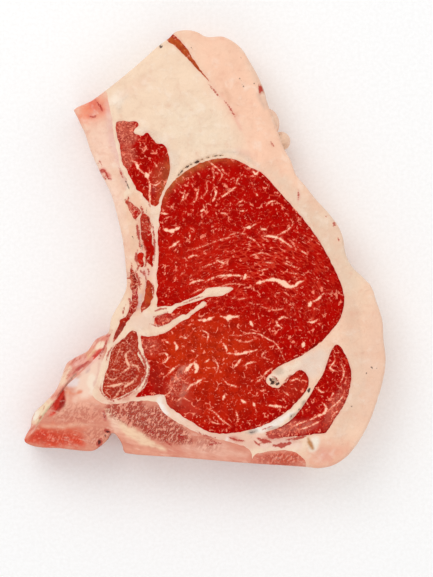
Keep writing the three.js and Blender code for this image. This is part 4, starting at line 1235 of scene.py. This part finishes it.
def body_of(index):
    """Points, faces, the face point that each point takes its looks from, and the number of the
    first point on the side, for one tissue as a closed body."""
    mine = triangles[tissue == index]
    used, local = np.unique(mine, return_inverse=True)
    local = local.reshape(-1, 3)
    count = len(used)
    lookup = np.full(len(spots), -1)
    lookup[used] = np.arange(count)
    points = [np.column_stack((spots[used], top[used])), np.column_stack((spots[used], bottom[used]))]
    faces = [tuple(face) for face in local.tolist()]
    faces += [tuple(face[::-1]) for face in (local + count).tolist()]

    border, _ = border_of(mine)
    levels = len(side)
    columns = {}
    origin = 2 * count
    side_points, side_source = [], []

    def column(spot):
        """The first of a rim point's side points in this body, made when first asked for."""
        if spot not in columns:
            columns[spot] = origin + len(side_source)
            ring = side[:, rim_place[spot]]
            side_points.append(ring)
            side_source.extend([spot] * levels)
        return columns[spot]

    open_ends = {}
    for a, b in border.tolist():
        a_top, b_top = int(lookup[a]), int(lookup[b])
        on_rim = (rim_place[a] >= 0 and rim_place[b] >= 0
                  and (rim_place[b] - rim_place[a]) % len(rim) == 1)
        if not on_rim:
            faces.append((a_top, a_top + count, b_top + count, b_top))
            continue
        left, right = column(a), column(b)
        faces.append((a_top, left, right, b_top))
        for level in range(levels - 1):
            faces.append((left + level, left + level + 1, right + level + 1, right + level))
        faces.append((left + levels - 1, a_top + count, b_top + count, right + levels - 1))
        open_ends[a] = open_ends.get(a, 0) + 1
        open_ends[b] = open_ends.get(b, 0) - 1
    for spot, balance in open_ends.items():
        if balance == 0:
            continue
        first = columns[spot]
        loop = [int(lookup[spot]), *range(first, first + levels), int(lookup[spot]) + count]
        faces.append(tuple(loop[::-1]) if balance > 0 else tuple(loop))

    if side_points:
        points.append(np.vstack(side_points))
    source = np.concatenate([used, used, np.array(side_source, int)])
    return np.vstack(points), faces, source, 2 * count


VALUE_FIELDS = {"FLOAT": "value", "FLOAT_VECTOR": "vector", "FLOAT_COLOR": "color"}


def write_values(mesh, name, values, kind="FLOAT"):
    """One number, vector or colour for every point of the mesh, under the given name."""
    attribute = mesh.attributes.new(name, kind, "POINT")
    flat = np.asarray(values, np.float32)
    if kind == "FLOAT_COLOR":
        flat = np.column_stack((flat, np.ones(len(flat), np.float32)))
    attribute.data.foreach_set(VALUE_FIELDS[kind], np.ascontiguousarray(flat).ravel())


def make_piece(index, material):
    """The finished body of one tissue, with its looks written on it."""
    node, name, _, kind = TISSUES[index]
    points, faces, source, first_side = body_of(index)
    mesh = bpy.data.meshes.new(name)
    mesh.from_pydata((points * MM).tolist(), [], faces)
    mesh.validate()
    mesh.update()

    tint = paint[kind][source].copy()
    sponge = spongy[source].copy()
    from_face = np.zeros(len(points))
    if first_side < len(points):
        where = rim_place[source[first_side:]].reshape(-1, len(side))
        level = np.broadcast_to(np.arange(len(side)), where.shape)
        depth = top[source[first_side:]] - points[first_side:, 2]
        uneven = 1.8 * soft_noise(points[first_side:], 3.6, 79)
        from_face[first_side:] = ease(depth, 0.2, 1.2) * ease(depth + uneven, 0.6, 6.0)
        share = from_face[first_side:]
        tint[first_side:] = mix(tint[first_side:], side_tint[level, where].reshape(-1, 3), share[:, None])
        sponge[first_side:] = mix(sponge[first_side:], side_sponge[level, where].ravel(), share)
    far = FAR_FROM_MARKS * ease(from_face, 0.0, 0.3)
    write_values(mesh, "tint", tint, "FLOAT_COLOR")
    write_values(mesh, "fibre", FIBRE[source], "FLOAT_VECTOR")
    write_values(mesh, "spongy", sponge)
    write_values(mesh, "skinned", skinned[source] * (1.0 - from_face))
    write_values(mesh, "on_side", from_face)
    for label, distance in DISTANCES.items():
        write_values(mesh, label, distance[source] + far)
    for label, share in SHARES.items():
        write_values(mesh, label, share[source])
    mesh.shade_smooth()
    mesh.set_sharp_from_angle(angle=math.radians(SHARP_TURN))
    mesh.materials.append(material)
    piece = bpy.data.objects.new(name, mesh)
    bpy.context.collection.objects.link(piece)
    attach(piece, "root")
    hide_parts(node)


# ---- materials ---------------------------------------------------------------------------------------


def add(tree, kind, inputs=None, output=None, **settings):
    """Adds a node with its settings and links, and gives back one of its outputs, the first if
    none is named. An input takes a number, a vector, a hex colour or another node's output."""
    node = tree.nodes.new(kind)
    for key, value in settings.items():
        setattr(node, key, value)
    for key, value in (inputs or {}).items():
        fitting = [socket for socket in node.inputs if socket.enabled and socket.name == key]
        socket = node.inputs[key] if isinstance(key, int) else fitting[0]
        if isinstance(value, bpy.types.NodeSocket):
            tree.links.new(value, socket)
        elif isinstance(value, str):
            socket.default_value = (*linear(value), 1.0)
        else:
            socket.default_value = value
    shown = [socket for socket in node.outputs if socket.enabled and output in (None, socket.name)]
    return shown[0] if shown else None


def start_material(name, roughness, ior, specular):
    """A new material with its node tree and its shader."""
    material = bpy.data.materials.new(name)
    material.use_nodes = True
    tree = material.node_tree
    shader = tree.nodes["Principled BSDF"]
    shader.inputs["Roughness"].default_value = roughness
    shader.inputs["IOR"].default_value = ior
    shader.inputs["Specular IOR Level"].default_value = specular
    return material, tree, shader


def finish_surface(tree, shader, colour, height, depth, strength):
    """Gives the shader its colour, and a relief that is `depth` millimetres deep."""
    tree.links.new(colour, shader.inputs["Base Color"])
    bump = add(tree, "ShaderNodeBump", {"Height": height, "Distance": depth * MM, "Strength": strength})
    tree.links.new(bump, shader.inputs["Normal"])


def millimetres(tree):
    """Place on the piece, in millimetres."""
    where = add(tree, "ShaderNodeTexCoord", output="Object")
    return add(tree, "ShaderNodeVectorMath", {0: where, 3: 1 / MM}, operation="SCALE")


def wandering(tree, places, size, amount):
    """The same places pushed about by noise, so that no line stays straight."""
    noise = add(tree, "ShaderNodeTexNoise", {"Vector": places, "Scale": 1 / size, "Detail": 2.0}, "Color")
    centred = add(tree, "ShaderNodeVectorMath", {0: noise, 1: (0.5, 0.5, 0.5)}, operation="SUBTRACT")
    pushed = add(tree, "ShaderNodeVectorMath", {0: centred, 3: amount}, operation="SCALE")
    return add(tree, "ShaderNodeVectorMath", {0: places, 1: pushed}, operation="ADD")


def patches(tree, places, size, low, high):
    """From 0 to 1 in soft patches of about `size` millimetres."""
    noise = add(tree, "ShaderNodeTexNoise", {
        "Vector": places, "Scale": 1 / size, "Detail": 3.0, "Roughness": 0.6})
    return add(tree, "ShaderNodeMapRange", {"Value": noise, "From Min": low, "From Max": high},
               interpolation_type="SMOOTHSTEP")


def threads(tree, places, spacing, thin, thick):
    """1 on the walls between random cells with this spacing in millimetres, 0 inside them."""
    shares = tuple(1 / gap for gap in spacing)
    cells = add(tree, "ShaderNodeVectorMath", {0: places, 1: shares}, operation="MULTIPLY")
    walls = add(tree, "ShaderNodeTexVoronoi", {"Vector": cells, "Scale": 1.0}, feature="DISTANCE_TO_EDGE")
    return add(tree, "ShaderNodeMapRange", {
        "Value": walls, "From Min": thin, "From Max": thick, "To Min": 1.0, "To Max": 0.0,
    }, interpolation_type="SMOOTHSTEP")


def torn_mark(tree, mark, grain, raggedness, soft, inset=0.0):
    """1 inside the marks whose distance is written on the mesh, with an edge torn by the grain."""
    distance = add(tree, "ShaderNodeAttribute", output="Fac", attribute_name=mark)
    shift = add(tree, "ShaderNodeMath", {0: grain, 1: raggedness, 2: inset - 0.5 * raggedness},
                operation="MULTIPLY_ADD")
    edge = add(tree, "ShaderNodeMath", {0: distance, 1: shift}, operation="ADD")
    return add(tree, "ShaderNodeMapRange", {
        "Value": edge, "From Min": -soft, "From Max": soft, "To Min": 1.0, "To Max": 0.0,
    }, interpolation_type="SMOOTHSTEP")


def stained(tree, colour, stain, where, strength):
    """The colour with a stain laid over it."""
    share = add(tree, "ShaderNodeMath", {0: where, 1: strength}, operation="MULTIPLY")
    return add(tree, "ShaderNodeMix", {"Factor": share, "A": colour, "B": stain}, data_type="RGBA")


def raw_meat(name, thread, fleck, fat, roughness):
    """Wet raw beef, freshly cut: deep red bundles of fibre two to four millimetres wide, pale threads
    between them, crisp flakes of fat, and a pinker torn grain beside the bones."""
    material, tree, shader = start_material(name, roughness, 1.38, 0.03)
    here = wandering(tree, wandering(tree, millimetres(tree), 6.0, 3.0), 1.4, 0.7)
    along = add(tree, "ShaderNodeAttribute", output="Vector", attribute_name="fibre")
    fibre = wandering(tree, wandering(tree, along, 7.0, 2.6), 1.6, 0.7)
    rays = add(tree, "ShaderNodeAttribute", output="Fac", attribute_name="ray_share")
    arcs = add(tree, "ShaderNodeAttribute", output="Fac", attribute_name="arc_share")
    net = threads(tree, here, (2.5, 2.5, 6.0), 0.02, 0.15)
    for share, spacing in ((rays, (4.4, 1.9, 1.9)), (arcs, (1.5, 5.5, 5.5))):
        net = add(tree, "ShaderNodeMix", {
            "Factor": share, "A": net, "B": threads(tree, fibre, spacing, 0.02, 0.17)})
    long_fibre = add(tree, "ShaderNodeMath", {0: arcs, 1: patches(tree, here, 9.0, 0.40, 0.60)},
                     operation="MULTIPLY")
    kept = add(tree, "ShaderNodeMath", {0: patches(tree, here, 2.0, 0.52, 0.62), 1: long_fibre},
               operation="MAXIMUM")
    broken = add(tree, "ShaderNodeMath", {0: net, 1: kept}, operation="MULTIPLY")
    bright = add(tree, "ShaderNodeMath", {0: net, 1: patches(tree, here, 2.9, 0.57, 0.62)},
                 operation="MULTIPLY")
    speck = add(tree, "ShaderNodeMath", {0: net, 1: patches(tree, here, 1.1, 0.61, 0.67)},
                operation="MULTIPLY")

    colour = add(tree, "ShaderNodeAttribute", output="Color", attribute_name="tint")
    colour = stained(tree, colour, "#860000", patches(tree, here, 4.0, 0.40, 0.64), 0.5)
    colour = stained(tree, colour, thread, patches(tree, here, 1.0, 0.50, 0.72), 0.04)
    colour = stained(tree, colour, thread, broken, 0.6)
    colour = stained(tree, colour, fleck, bright, 0.85)
    colour = stained(tree, colour, fleck, speck, 0.5)

    rough_cut = add(tree, "ShaderNodeAttribute", output="Fac", attribute_name="torn")
    pale_grain = add(tree, "ShaderNodeMath", {0: rough_cut, 1: patches(tree, here, 1.0, 0.50, 0.60)},
                     operation="MULTIPLY")
    dark_grain = add(tree, "ShaderNodeMath", {0: rough_cut, 1: patches(tree, here, 1.3, 0.54, 0.62)},
                     operation="MULTIPLY")
    colour = stained(tree, colour, "#861a14", dark_grain, 0.55)
    colour = stained(tree, colour, fleck, pale_grain, 0.65)

    grain = add(tree, "ShaderNodeTexNoise", {
        "Vector": here, "Scale": 1 / 0.9, "Detail": 3.0, "Roughness": 0.7})
    flake = torn_mark(tree, "streak", grain, 1.7, 0.2)
    colour = stained(tree, colour, thread, torn_mark(tree, "streak", grain, 2.4, 0.6, -0.2), 0.5)
    colour = stained(tree, colour, fleck, flake, 0.85)
    colour = stained(tree, colour, fat, torn_mark(tree, "streak", grain, 1.9, 0.25, 0.28), 0.95)
    # Painted shade in the slit over the eye, and the other dark marks in the meat.
    colour = stained(tree, colour, "#4a0c08", torn_mark(tree, "dark_mark", grain, 1.2, 0.2), 0.9)
    raised = add(tree, "ShaderNodeMath", {0: broken, 1: 0.5, 2: flake}, operation="MULTIPLY_ADD")
    finish_surface(tree, shader, colour, raised, 0.15, 0.8)
    return material


def beef_fat(name, fold, red, roughness):
    """Firm cold suet with a greasy skin: pale and cloudy, with faint lobes, fine creases, and a
    few shreds of red meat and dark specks left by the knife, with painted shade where the slit over the eye
    reaches it."""
    material, tree, shader = start_material(name, roughness, 1.45, 0.25)
    here = wandering(tree, millimetres(tree), 9.0, 3.0)
    colour = add(tree, "ShaderNodeAttribute", output="Color", attribute_name="tint")
    colour = stained(tree, colour, fold, patches(tree, here, 11.0, 0.40, 0.68), 0.34)
    lobes = add(tree, "ShaderNodeMath", {
        0: threads(tree, here, (7.0, 7.0, 9.0), 0.0, 0.20), 1: patches(tree, here, 7.0, 0.48, 0.64),
    }, operation="MULTIPLY")
    colour = stained(tree, colour, fold, lobes, 0.3)
    colour = stained(tree, colour, red, patches(tree, here, 5.5, 0.56, 0.76), 0.16)
    colour = stained(tree, colour, "#fff1e2", patches(tree, here, 6.0, 0.50, 0.74), 0.28)
    grain = add(tree, "ShaderNodeTexNoise", {
        "Vector": wandering(tree, here, 1.2, 0.5), "Scale": 1 / 0.9, "Detail": 3.0, "Roughness": 0.65})
    colour = stained(tree, colour, red, torn_mark(tree, "seam", grain, 0.9, 0.45), 0.45)
    colour = stained(tree, colour, red, torn_mark(tree, "red_mark", grain, 2.0, 0.6), 0.45)
    colour = stained(tree, colour, "#b42412", torn_mark(tree, "red_mark", grain, 2.0, 0.3), 0.85)
    # Dark specks, and painted shade where the slit over the eye runs along the fat.
    colour = stained(tree, colour, "#3c1812", torn_mark(tree, "dark_mark", grain, 1.3, 0.2), 0.95)

    uneven = add(tree, "ShaderNodeMath", {0: lobes, 1: -0.8, 2: grain}, operation="MULTIPLY_ADD")
    height = add(tree, "ShaderNodeMath", {0: patches(tree, here, 3.0, 0.35, 0.70), 1: 1.2, 2: uneven},
                 operation="MULTIPLY_ADD")
    finish_surface(tree, shader, colour, height, 0.26, 0.7)
    return material


def sawn_bone(name):
    """Freshly sawn bone: a pink wall streaked along its grain, round spongy bone whose long pores
    hold red marrow, a smoother and wetter part that keeps its skin, and saw marks on the side."""
    material, tree, shader = start_material(name, 0.5, 1.5, 0.2)
    whole = millimetres(tree)
    here = wandering(tree, whole, 4.0, 1.2)
    turned = add(tree, "ShaderNodeMapping", {
        "Vector": here, "Rotation": (0.0, 0.0, math.radians(58)), "Scale": (2.3, 1.1, 2.0),
    }, vector_type="TEXTURE")
    lattice = add(tree, "ShaderNodeTexNoise", {
        "Vector": turned, "Scale": 1.0, "Detail": 1.0, "Distortion": 0.5})
    sponge = add(tree, "ShaderNodeAttribute", output="Fac", attribute_name="spongy")
    colour = add(tree, "ShaderNodeAttribute", output="Color", attribute_name="tint")

    lines = add(tree, "ShaderNodeMapping", {
        "Vector": here, "Rotation": (0.0, 0.0, math.radians(-14)), "Scale": (4.5, 1.1, 4.5),
    }, vector_type="TEXTURE")
    grain = add(tree, "ShaderNodeTexNoise", {
        "Vector": lines, "Scale": 1.0, "Detail": 3.0, "Roughness": 0.65})
    skin = add(tree, "ShaderNodeAttribute", output="Fac", attribute_name="skinned")
    bare = add(tree, "ShaderNodeMath", {0: 1.0, 1: skin}, operation="SUBTRACT")
    streaks = add(tree, "ShaderNodeMapRange", {"Value": grain, "From Min": 0.42, "From Max": 0.68})
    streaks = add(tree, "ShaderNodeMath", {0: streaks, 1: bare}, operation="MULTIPLY")
    pale = add(tree, "ShaderNodeMath", {0: patches(tree, lines, 1.3, 0.56, 0.70), 1: bare},
               operation="MULTIPLY")
    colour = stained(tree, colour, "#c4604c", streaks, 0.25)
    colour = stained(tree, colour, "#f4c6b0", pale, 0.4)
    wet = add(tree, "ShaderNodeMapRange", {"Value": skin, "To Min": 0.5, "To Max": 0.28})
    tree.links.new(wet, shader.inputs["Roughness"])

    pores = add(tree, "ShaderNodeMapRange", {
        "Value": lattice, "From Min": 0.45, "From Max": 0.54, "To Min": 1.0, "To Max": 0.0})
    filled = add(tree, "ShaderNodeMath", {0: pores, 1: sponge}, operation="MULTIPLY")
    walls = add(tree, "ShaderNodeMapRange", {"Value": lattice, "From Min": 0.55, "From Max": 0.64})
    walls = add(tree, "ShaderNodeMath", {0: walls, 1: sponge}, operation="MULTIPLY")
    colour = stained(tree, colour, "#ac321e", filled, 0.82)
    colour = stained(tree, colour, "#f6ac92", walls, 0.65)
    ragged = add(tree, "ShaderNodeTexNoise", {"Vector": here, "Scale": 1 / 0.9, "Detail": 3.0})
    colour = stained(tree, colour, "#b02a20", torn_mark(tree, "red_mark", ragged, 2.4, 0.4), 0.8)
    colour = stained(tree, colour, "#4a1410", torn_mark(tree, "dark_mark", ragged, 1.4, 0.2), 0.9)

    side_share = add(tree, "ShaderNodeAttribute", output="Fac", attribute_name="on_side")
    saw = add(tree, "ShaderNodeTexWave", {
        "Vector": whole, "Scale": 1 / 4.0, "Distortion": 0.8, "Detail": 2.0}, "Fac", bands_direction="X")
    marks = add(tree, "ShaderNodeMath", {0: saw, 1: side_share}, operation="MULTIPLY")
    level = add(tree, "ShaderNodeMath", {0: streaks, 1: 0.4, 2: marks}, operation="MULTIPLY_ADD")
    height = add(tree, "ShaderNodeMath", {0: level, 1: filled}, operation="SUBTRACT")
    finish_surface(tree, shader, colour, height, 0.35, 0.8)
    return material


def wet_membrane(name):
    """The thin wet lining of the rib cage over fat: glossy and softly wrinkled, in pink and cream
    folds with shreds of red."""
    material, tree, shader = start_material(name, 0.3, 1.38, 0.35)
    here = wandering(tree, millimetres(tree), 6.0, 3.0)
    turned = add(tree, "ShaderNodeMapping", {
        "Vector": here, "Rotation": (0.0, 0.0, math.radians(50)), "Scale": (6.0, 1.7, 3.0),
    }, vector_type="TEXTURE")
    wrinkles = add(tree, "ShaderNodeTexNoise", {
        "Vector": turned, "Scale": 1.0, "Detail": 3.0, "Roughness": 0.6})
    colour = add(tree, "ShaderNodeAttribute", output="Color", attribute_name="tint")
    reddened = add(tree, "ShaderNodeMapRange", {"Value": wrinkles, "From Min": 0.52, "From Max": 0.70})
    paler = add(tree, "ShaderNodeMapRange", {
        "Value": wrinkles, "From Min": 0.30, "From Max": 0.44, "To Min": 1.0, "To Max": 0.0})
    colour = stained(tree, colour, "#c8523e", reddened, 0.75)
    colour = stained(tree, colour, "#f8d0b8", paler, 0.5)
    ragged = add(tree, "ShaderNodeTexNoise", {"Vector": here, "Scale": 1 / 0.9, "Detail": 3.0})
    colour = stained(tree, colour, "#b8322a", torn_mark(tree, "red_mark", ragged, 2.4, 0.4), 0.75)
    finish_surface(tree, shader, colour, wrinkles, 0.5, 0.7)
    return material


def marrow_crumb(name):
    """Crumbs of sawn spongy bone, pink and wet."""
    material, tree, shader = start_material(name, 0.45, 1.45, 0.25)
    here = millimetres(tree)
    colour = stained(tree, "#a84a3c", "#f0b8a4", patches(tree, here, 1.6, 0.38, 0.62), 1.0)
    grain = add(tree, "ShaderNodeTexNoise", {"Vector": here, "Scale": 1 / 0.5})
    finish_surface(tree, shader, colour, grain, 0.1, 0.6)
    return material


MATERIALS = {
    "lean": raw_meat("fresh_red_lean", "#e8482e", "#ff977a", "#ffd4b6", 0.40),
    "dull_lean": raw_meat("dull_sinewy_lean", "#d8583a", "#f0a084", "#f6bc9e", 0.44),
    "inner_fat": beef_fat("creamy_seam_fat", "#e8c4a8", "#d8836c", 0.45),
    "outer_fat": beef_fat("pink_cap_fat", "#eebc9f", "#dd8a72", 0.42),
    "rib_fat": beef_fat("rib_fat_under_membrane", "#e8ad94", "#d4705c", 0.36),
    "bone": sawn_bone("sawn_pink_bone"),
    "lining": wet_membrane("wet_rib_lining"),
}
for row_number, row in enumerate(TISSUES):
    make_piece(row_number, MATERIALS[row[3]])

# ---- crumbs of spongy bone -----------------------------------------------------------------------------

CRUMB_RADIUS = 0.42
CRUMB_GAP = 1.0           # closest that two crumbs lie
CRUMB_SINK = 0.05         # the bed of the crumbs lies this far below the cut face
CRUMB_DENSITY = 1.0e6     # most crumbs on a square metre
SPONGY_ENOUGH = 0.5       # crumbs lie where the bone is at least this spongy


def crumb_tree(material):
    """Small uneven crumbs scattered over a surface, sunk half-way in. Gives back the tree, and
    the identifiers of its three settings by their names."""
    tree = bpy.data.node_groups.new("scatter_marrow_crumbs", "GeometryNodeTree")
    sockets = {}
    tree.interface.new_socket("Geometry", in_out="INPUT", socket_type="NodeSocketGeometry")
    for label in ("Crumb size", "Closest", "Density"):
        socket = tree.interface.new_socket(label, in_out="INPUT", socket_type="NodeSocketFloat")
        sockets[label] = socket.identifier
    tree.interface.new_socket("Geometry", in_out="OUTPUT", socket_type="NodeSocketGeometry")
    bed, size, closest, density = (add(tree, "NodeGroupInput", output=label)
                                   for label in ("Geometry", *sockets))
    scattered = add(tree, "GeometryNodeDistributePointsOnFaces", {
        "Mesh": bed, "Distance Min": closest, "Density Max": density, "Seed": 4,
    }, distribute_method="POISSON")
    crumb = add(tree, "GeometryNodeMeshIcoSphere", {"Radius": size, "Subdivisions": 1})
    turn = add(tree, "FunctionNodeRandomValue", {"Max": (6.28, 6.28, 6.28), "Seed": 5},
               data_type="FLOAT_VECTOR")
    stretch = add(tree, "FunctionNodeRandomValue", {
        "Min": (0.5, 0.5, 0.3), "Max": (1.6, 1.2, 0.7), "Seed": 6,
    }, data_type="FLOAT_VECTOR")
    placed = add(tree, "GeometryNodeInstanceOnPoints", {
        "Points": scattered, "Instance": crumb, "Rotation": turn, "Scale": stretch})
    real = add(tree, "GeometryNodeRealizeInstances", {"Geometry": placed})
    dressed = add(tree, "GeometryNodeSetMaterial", {"Geometry": real, "Material": material})
    add(tree, "NodeGroupOutput", {"Geometry": dressed})
    return tree, sockets


def scatter_crumbs():
    """Crumbs on the spongy parts of the backbone and the cartilage."""
    rows = tissue_rows(("bone",))
    chosen = triangles[np.isin(tissue, rows) & (spongy[triangles].mean(axis=1) > SPONGY_ENOUGH)]
    used, local = np.unique(chosen, return_inverse=True)
    bed = bpy.data.meshes.new("crumb_bed")
    places = np.column_stack((spots[used], top[used] - CRUMB_SINK)) * MM
    bed.from_pydata(places.tolist(), [], local.reshape(-1, 3).tolist())
    holder = bpy.data.objects.new("crumb_bed", bed)
    bpy.context.collection.objects.link(holder)
    tree, sockets = crumb_tree(marrow_crumb("marrow_crumb"))
    scatter = holder.modifiers.new("scatter", "NODES")
    scatter.node_group = tree
    scatter[sockets["Crumb size"]] = CRUMB_RADIUS * MM
    scatter[sockets["Closest"]] = CRUMB_GAP * MM
    scatter[sockets["Density"]] = CRUMB_DENSITY
    evaluated = holder.evaluated_get(bpy.context.evaluated_depsgraph_get())
    mesh = bpy.data.meshes.new_from_object(evaluated)
    crumbs = bpy.data.objects.new("marrow_crumbs", mesh)
    bpy.context.collection.objects.link(crumbs)
    bpy.data.objects.remove(holder)
    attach(crumbs, "root")


scatter_crumbs()

# ---- floor, light and camera -----------------------------------------------------------------------------

CAMERA_HEIGHT = 1200.0      # above the cut face
VIEW_HEIGHT = 577 * SQUARE  # the whole picture is 577 squares high at the cut face
PICTURE_MIDDLE = (216.5, 288.5)
SENSOR_HEIGHT = 36.0
FARTHEST_SEEN = 20.0        # in metres
FLOOR_HALF = 3.0            # half its width, in metres
WORLD_STRENGTH = 0.72

# name, azimuth and elevation in degrees, distance and width in metres, power in watts
LAMPS = [
    ("key", 125, 52, 1.6, 1.0, 6.5),
    ("fill_right", 20, 45, 1.8, 1.3, 2.5),
    ("fill_front", 260, 45, 1.8, 1.3, 3),
]


def make_floor():
    """A wide sheet of pale paper under the steak."""
    mesh = bpy.data.meshes.new("floor")
    corners = [(x * FLOOR_HALF, y * FLOOR_HALF, 0) for x, y in ((-1, -1), (1, -1), (1, 1), (-1, 1))]
    mesh.from_pydata(corners, [], [(0, 1, 2, 3)])
    floor = bpy.data.objects.new("floor", mesh)
    bpy.context.collection.objects.link(floor)
    material, tree, shader = start_material("pale_paper", 0.9, 1.45, 0.1)
    colour = stained(tree, "#ffffff", "#f6f5f4", patches(tree, millimetres(tree), 2.0, 0.3, 0.7), 0.5)
    tree.links.new(colour, shader.inputs["Base Color"])
    mesh.materials.append(material)


def make_lamp(name, azimuth, elevation, distance, size, power):
    """A large square lamp that looks at the steak."""
    data = bpy.data.lights.new(name, "AREA")
    data.size = size
    data.energy = power
    lamp = bpy.data.objects.new(name, data)
    a, e = math.radians(azimuth), math.radians(elevation)
    lamp.location = distance * Vector((math.cos(a) * math.cos(e), math.sin(a) * math.cos(e), math.sin(e)))
    lamp.rotation_euler = (-lamp.location).to_track_quat("-Z", "Y").to_euler()
    bpy.context.collection.objects.link(lamp)


def make_world():
    """Even white light from all round."""
    world = bpy.data.worlds.new("studio")
    bpy.context.scene.world = world
    world.use_nodes = True
    shade = world.node_tree.nodes["Background"]
    shade.inputs["Color"].default_value = (1.0, 1.0, 1.0, 1.0)
    shade.inputs["Strength"].default_value = WORLD_STRENGTH


def make_camera():
    """A camera that looks straight down and sees the whole picture."""
    middle = place([PICTURE_MIDDLE])[0]
    data = bpy.data.cameras.new("camera")
    data.sensor_fit = "VERTICAL"
    data.sensor_height = SENSOR_HEIGHT
    data.lens = CAMERA_HEIGHT * SENSOR_HEIGHT / VIEW_HEIGHT
    data.clip_end = FARTHEST_SEEN
    camera = bpy.data.objects.new("camera", data)
    camera.location = (middle[0] * MM, middle[1] * MM, (THICKNESS + CAMERA_HEIGHT) * MM)
    bpy.context.collection.objects.link(camera)
    bpy.context.scene.camera = camera


make_floor()
make_world()
for lamp_row in LAMPS:
    make_lamp(*lamp_row)
make_camera()
bpy.context.scene.view_settings.view_transform = "Standard"
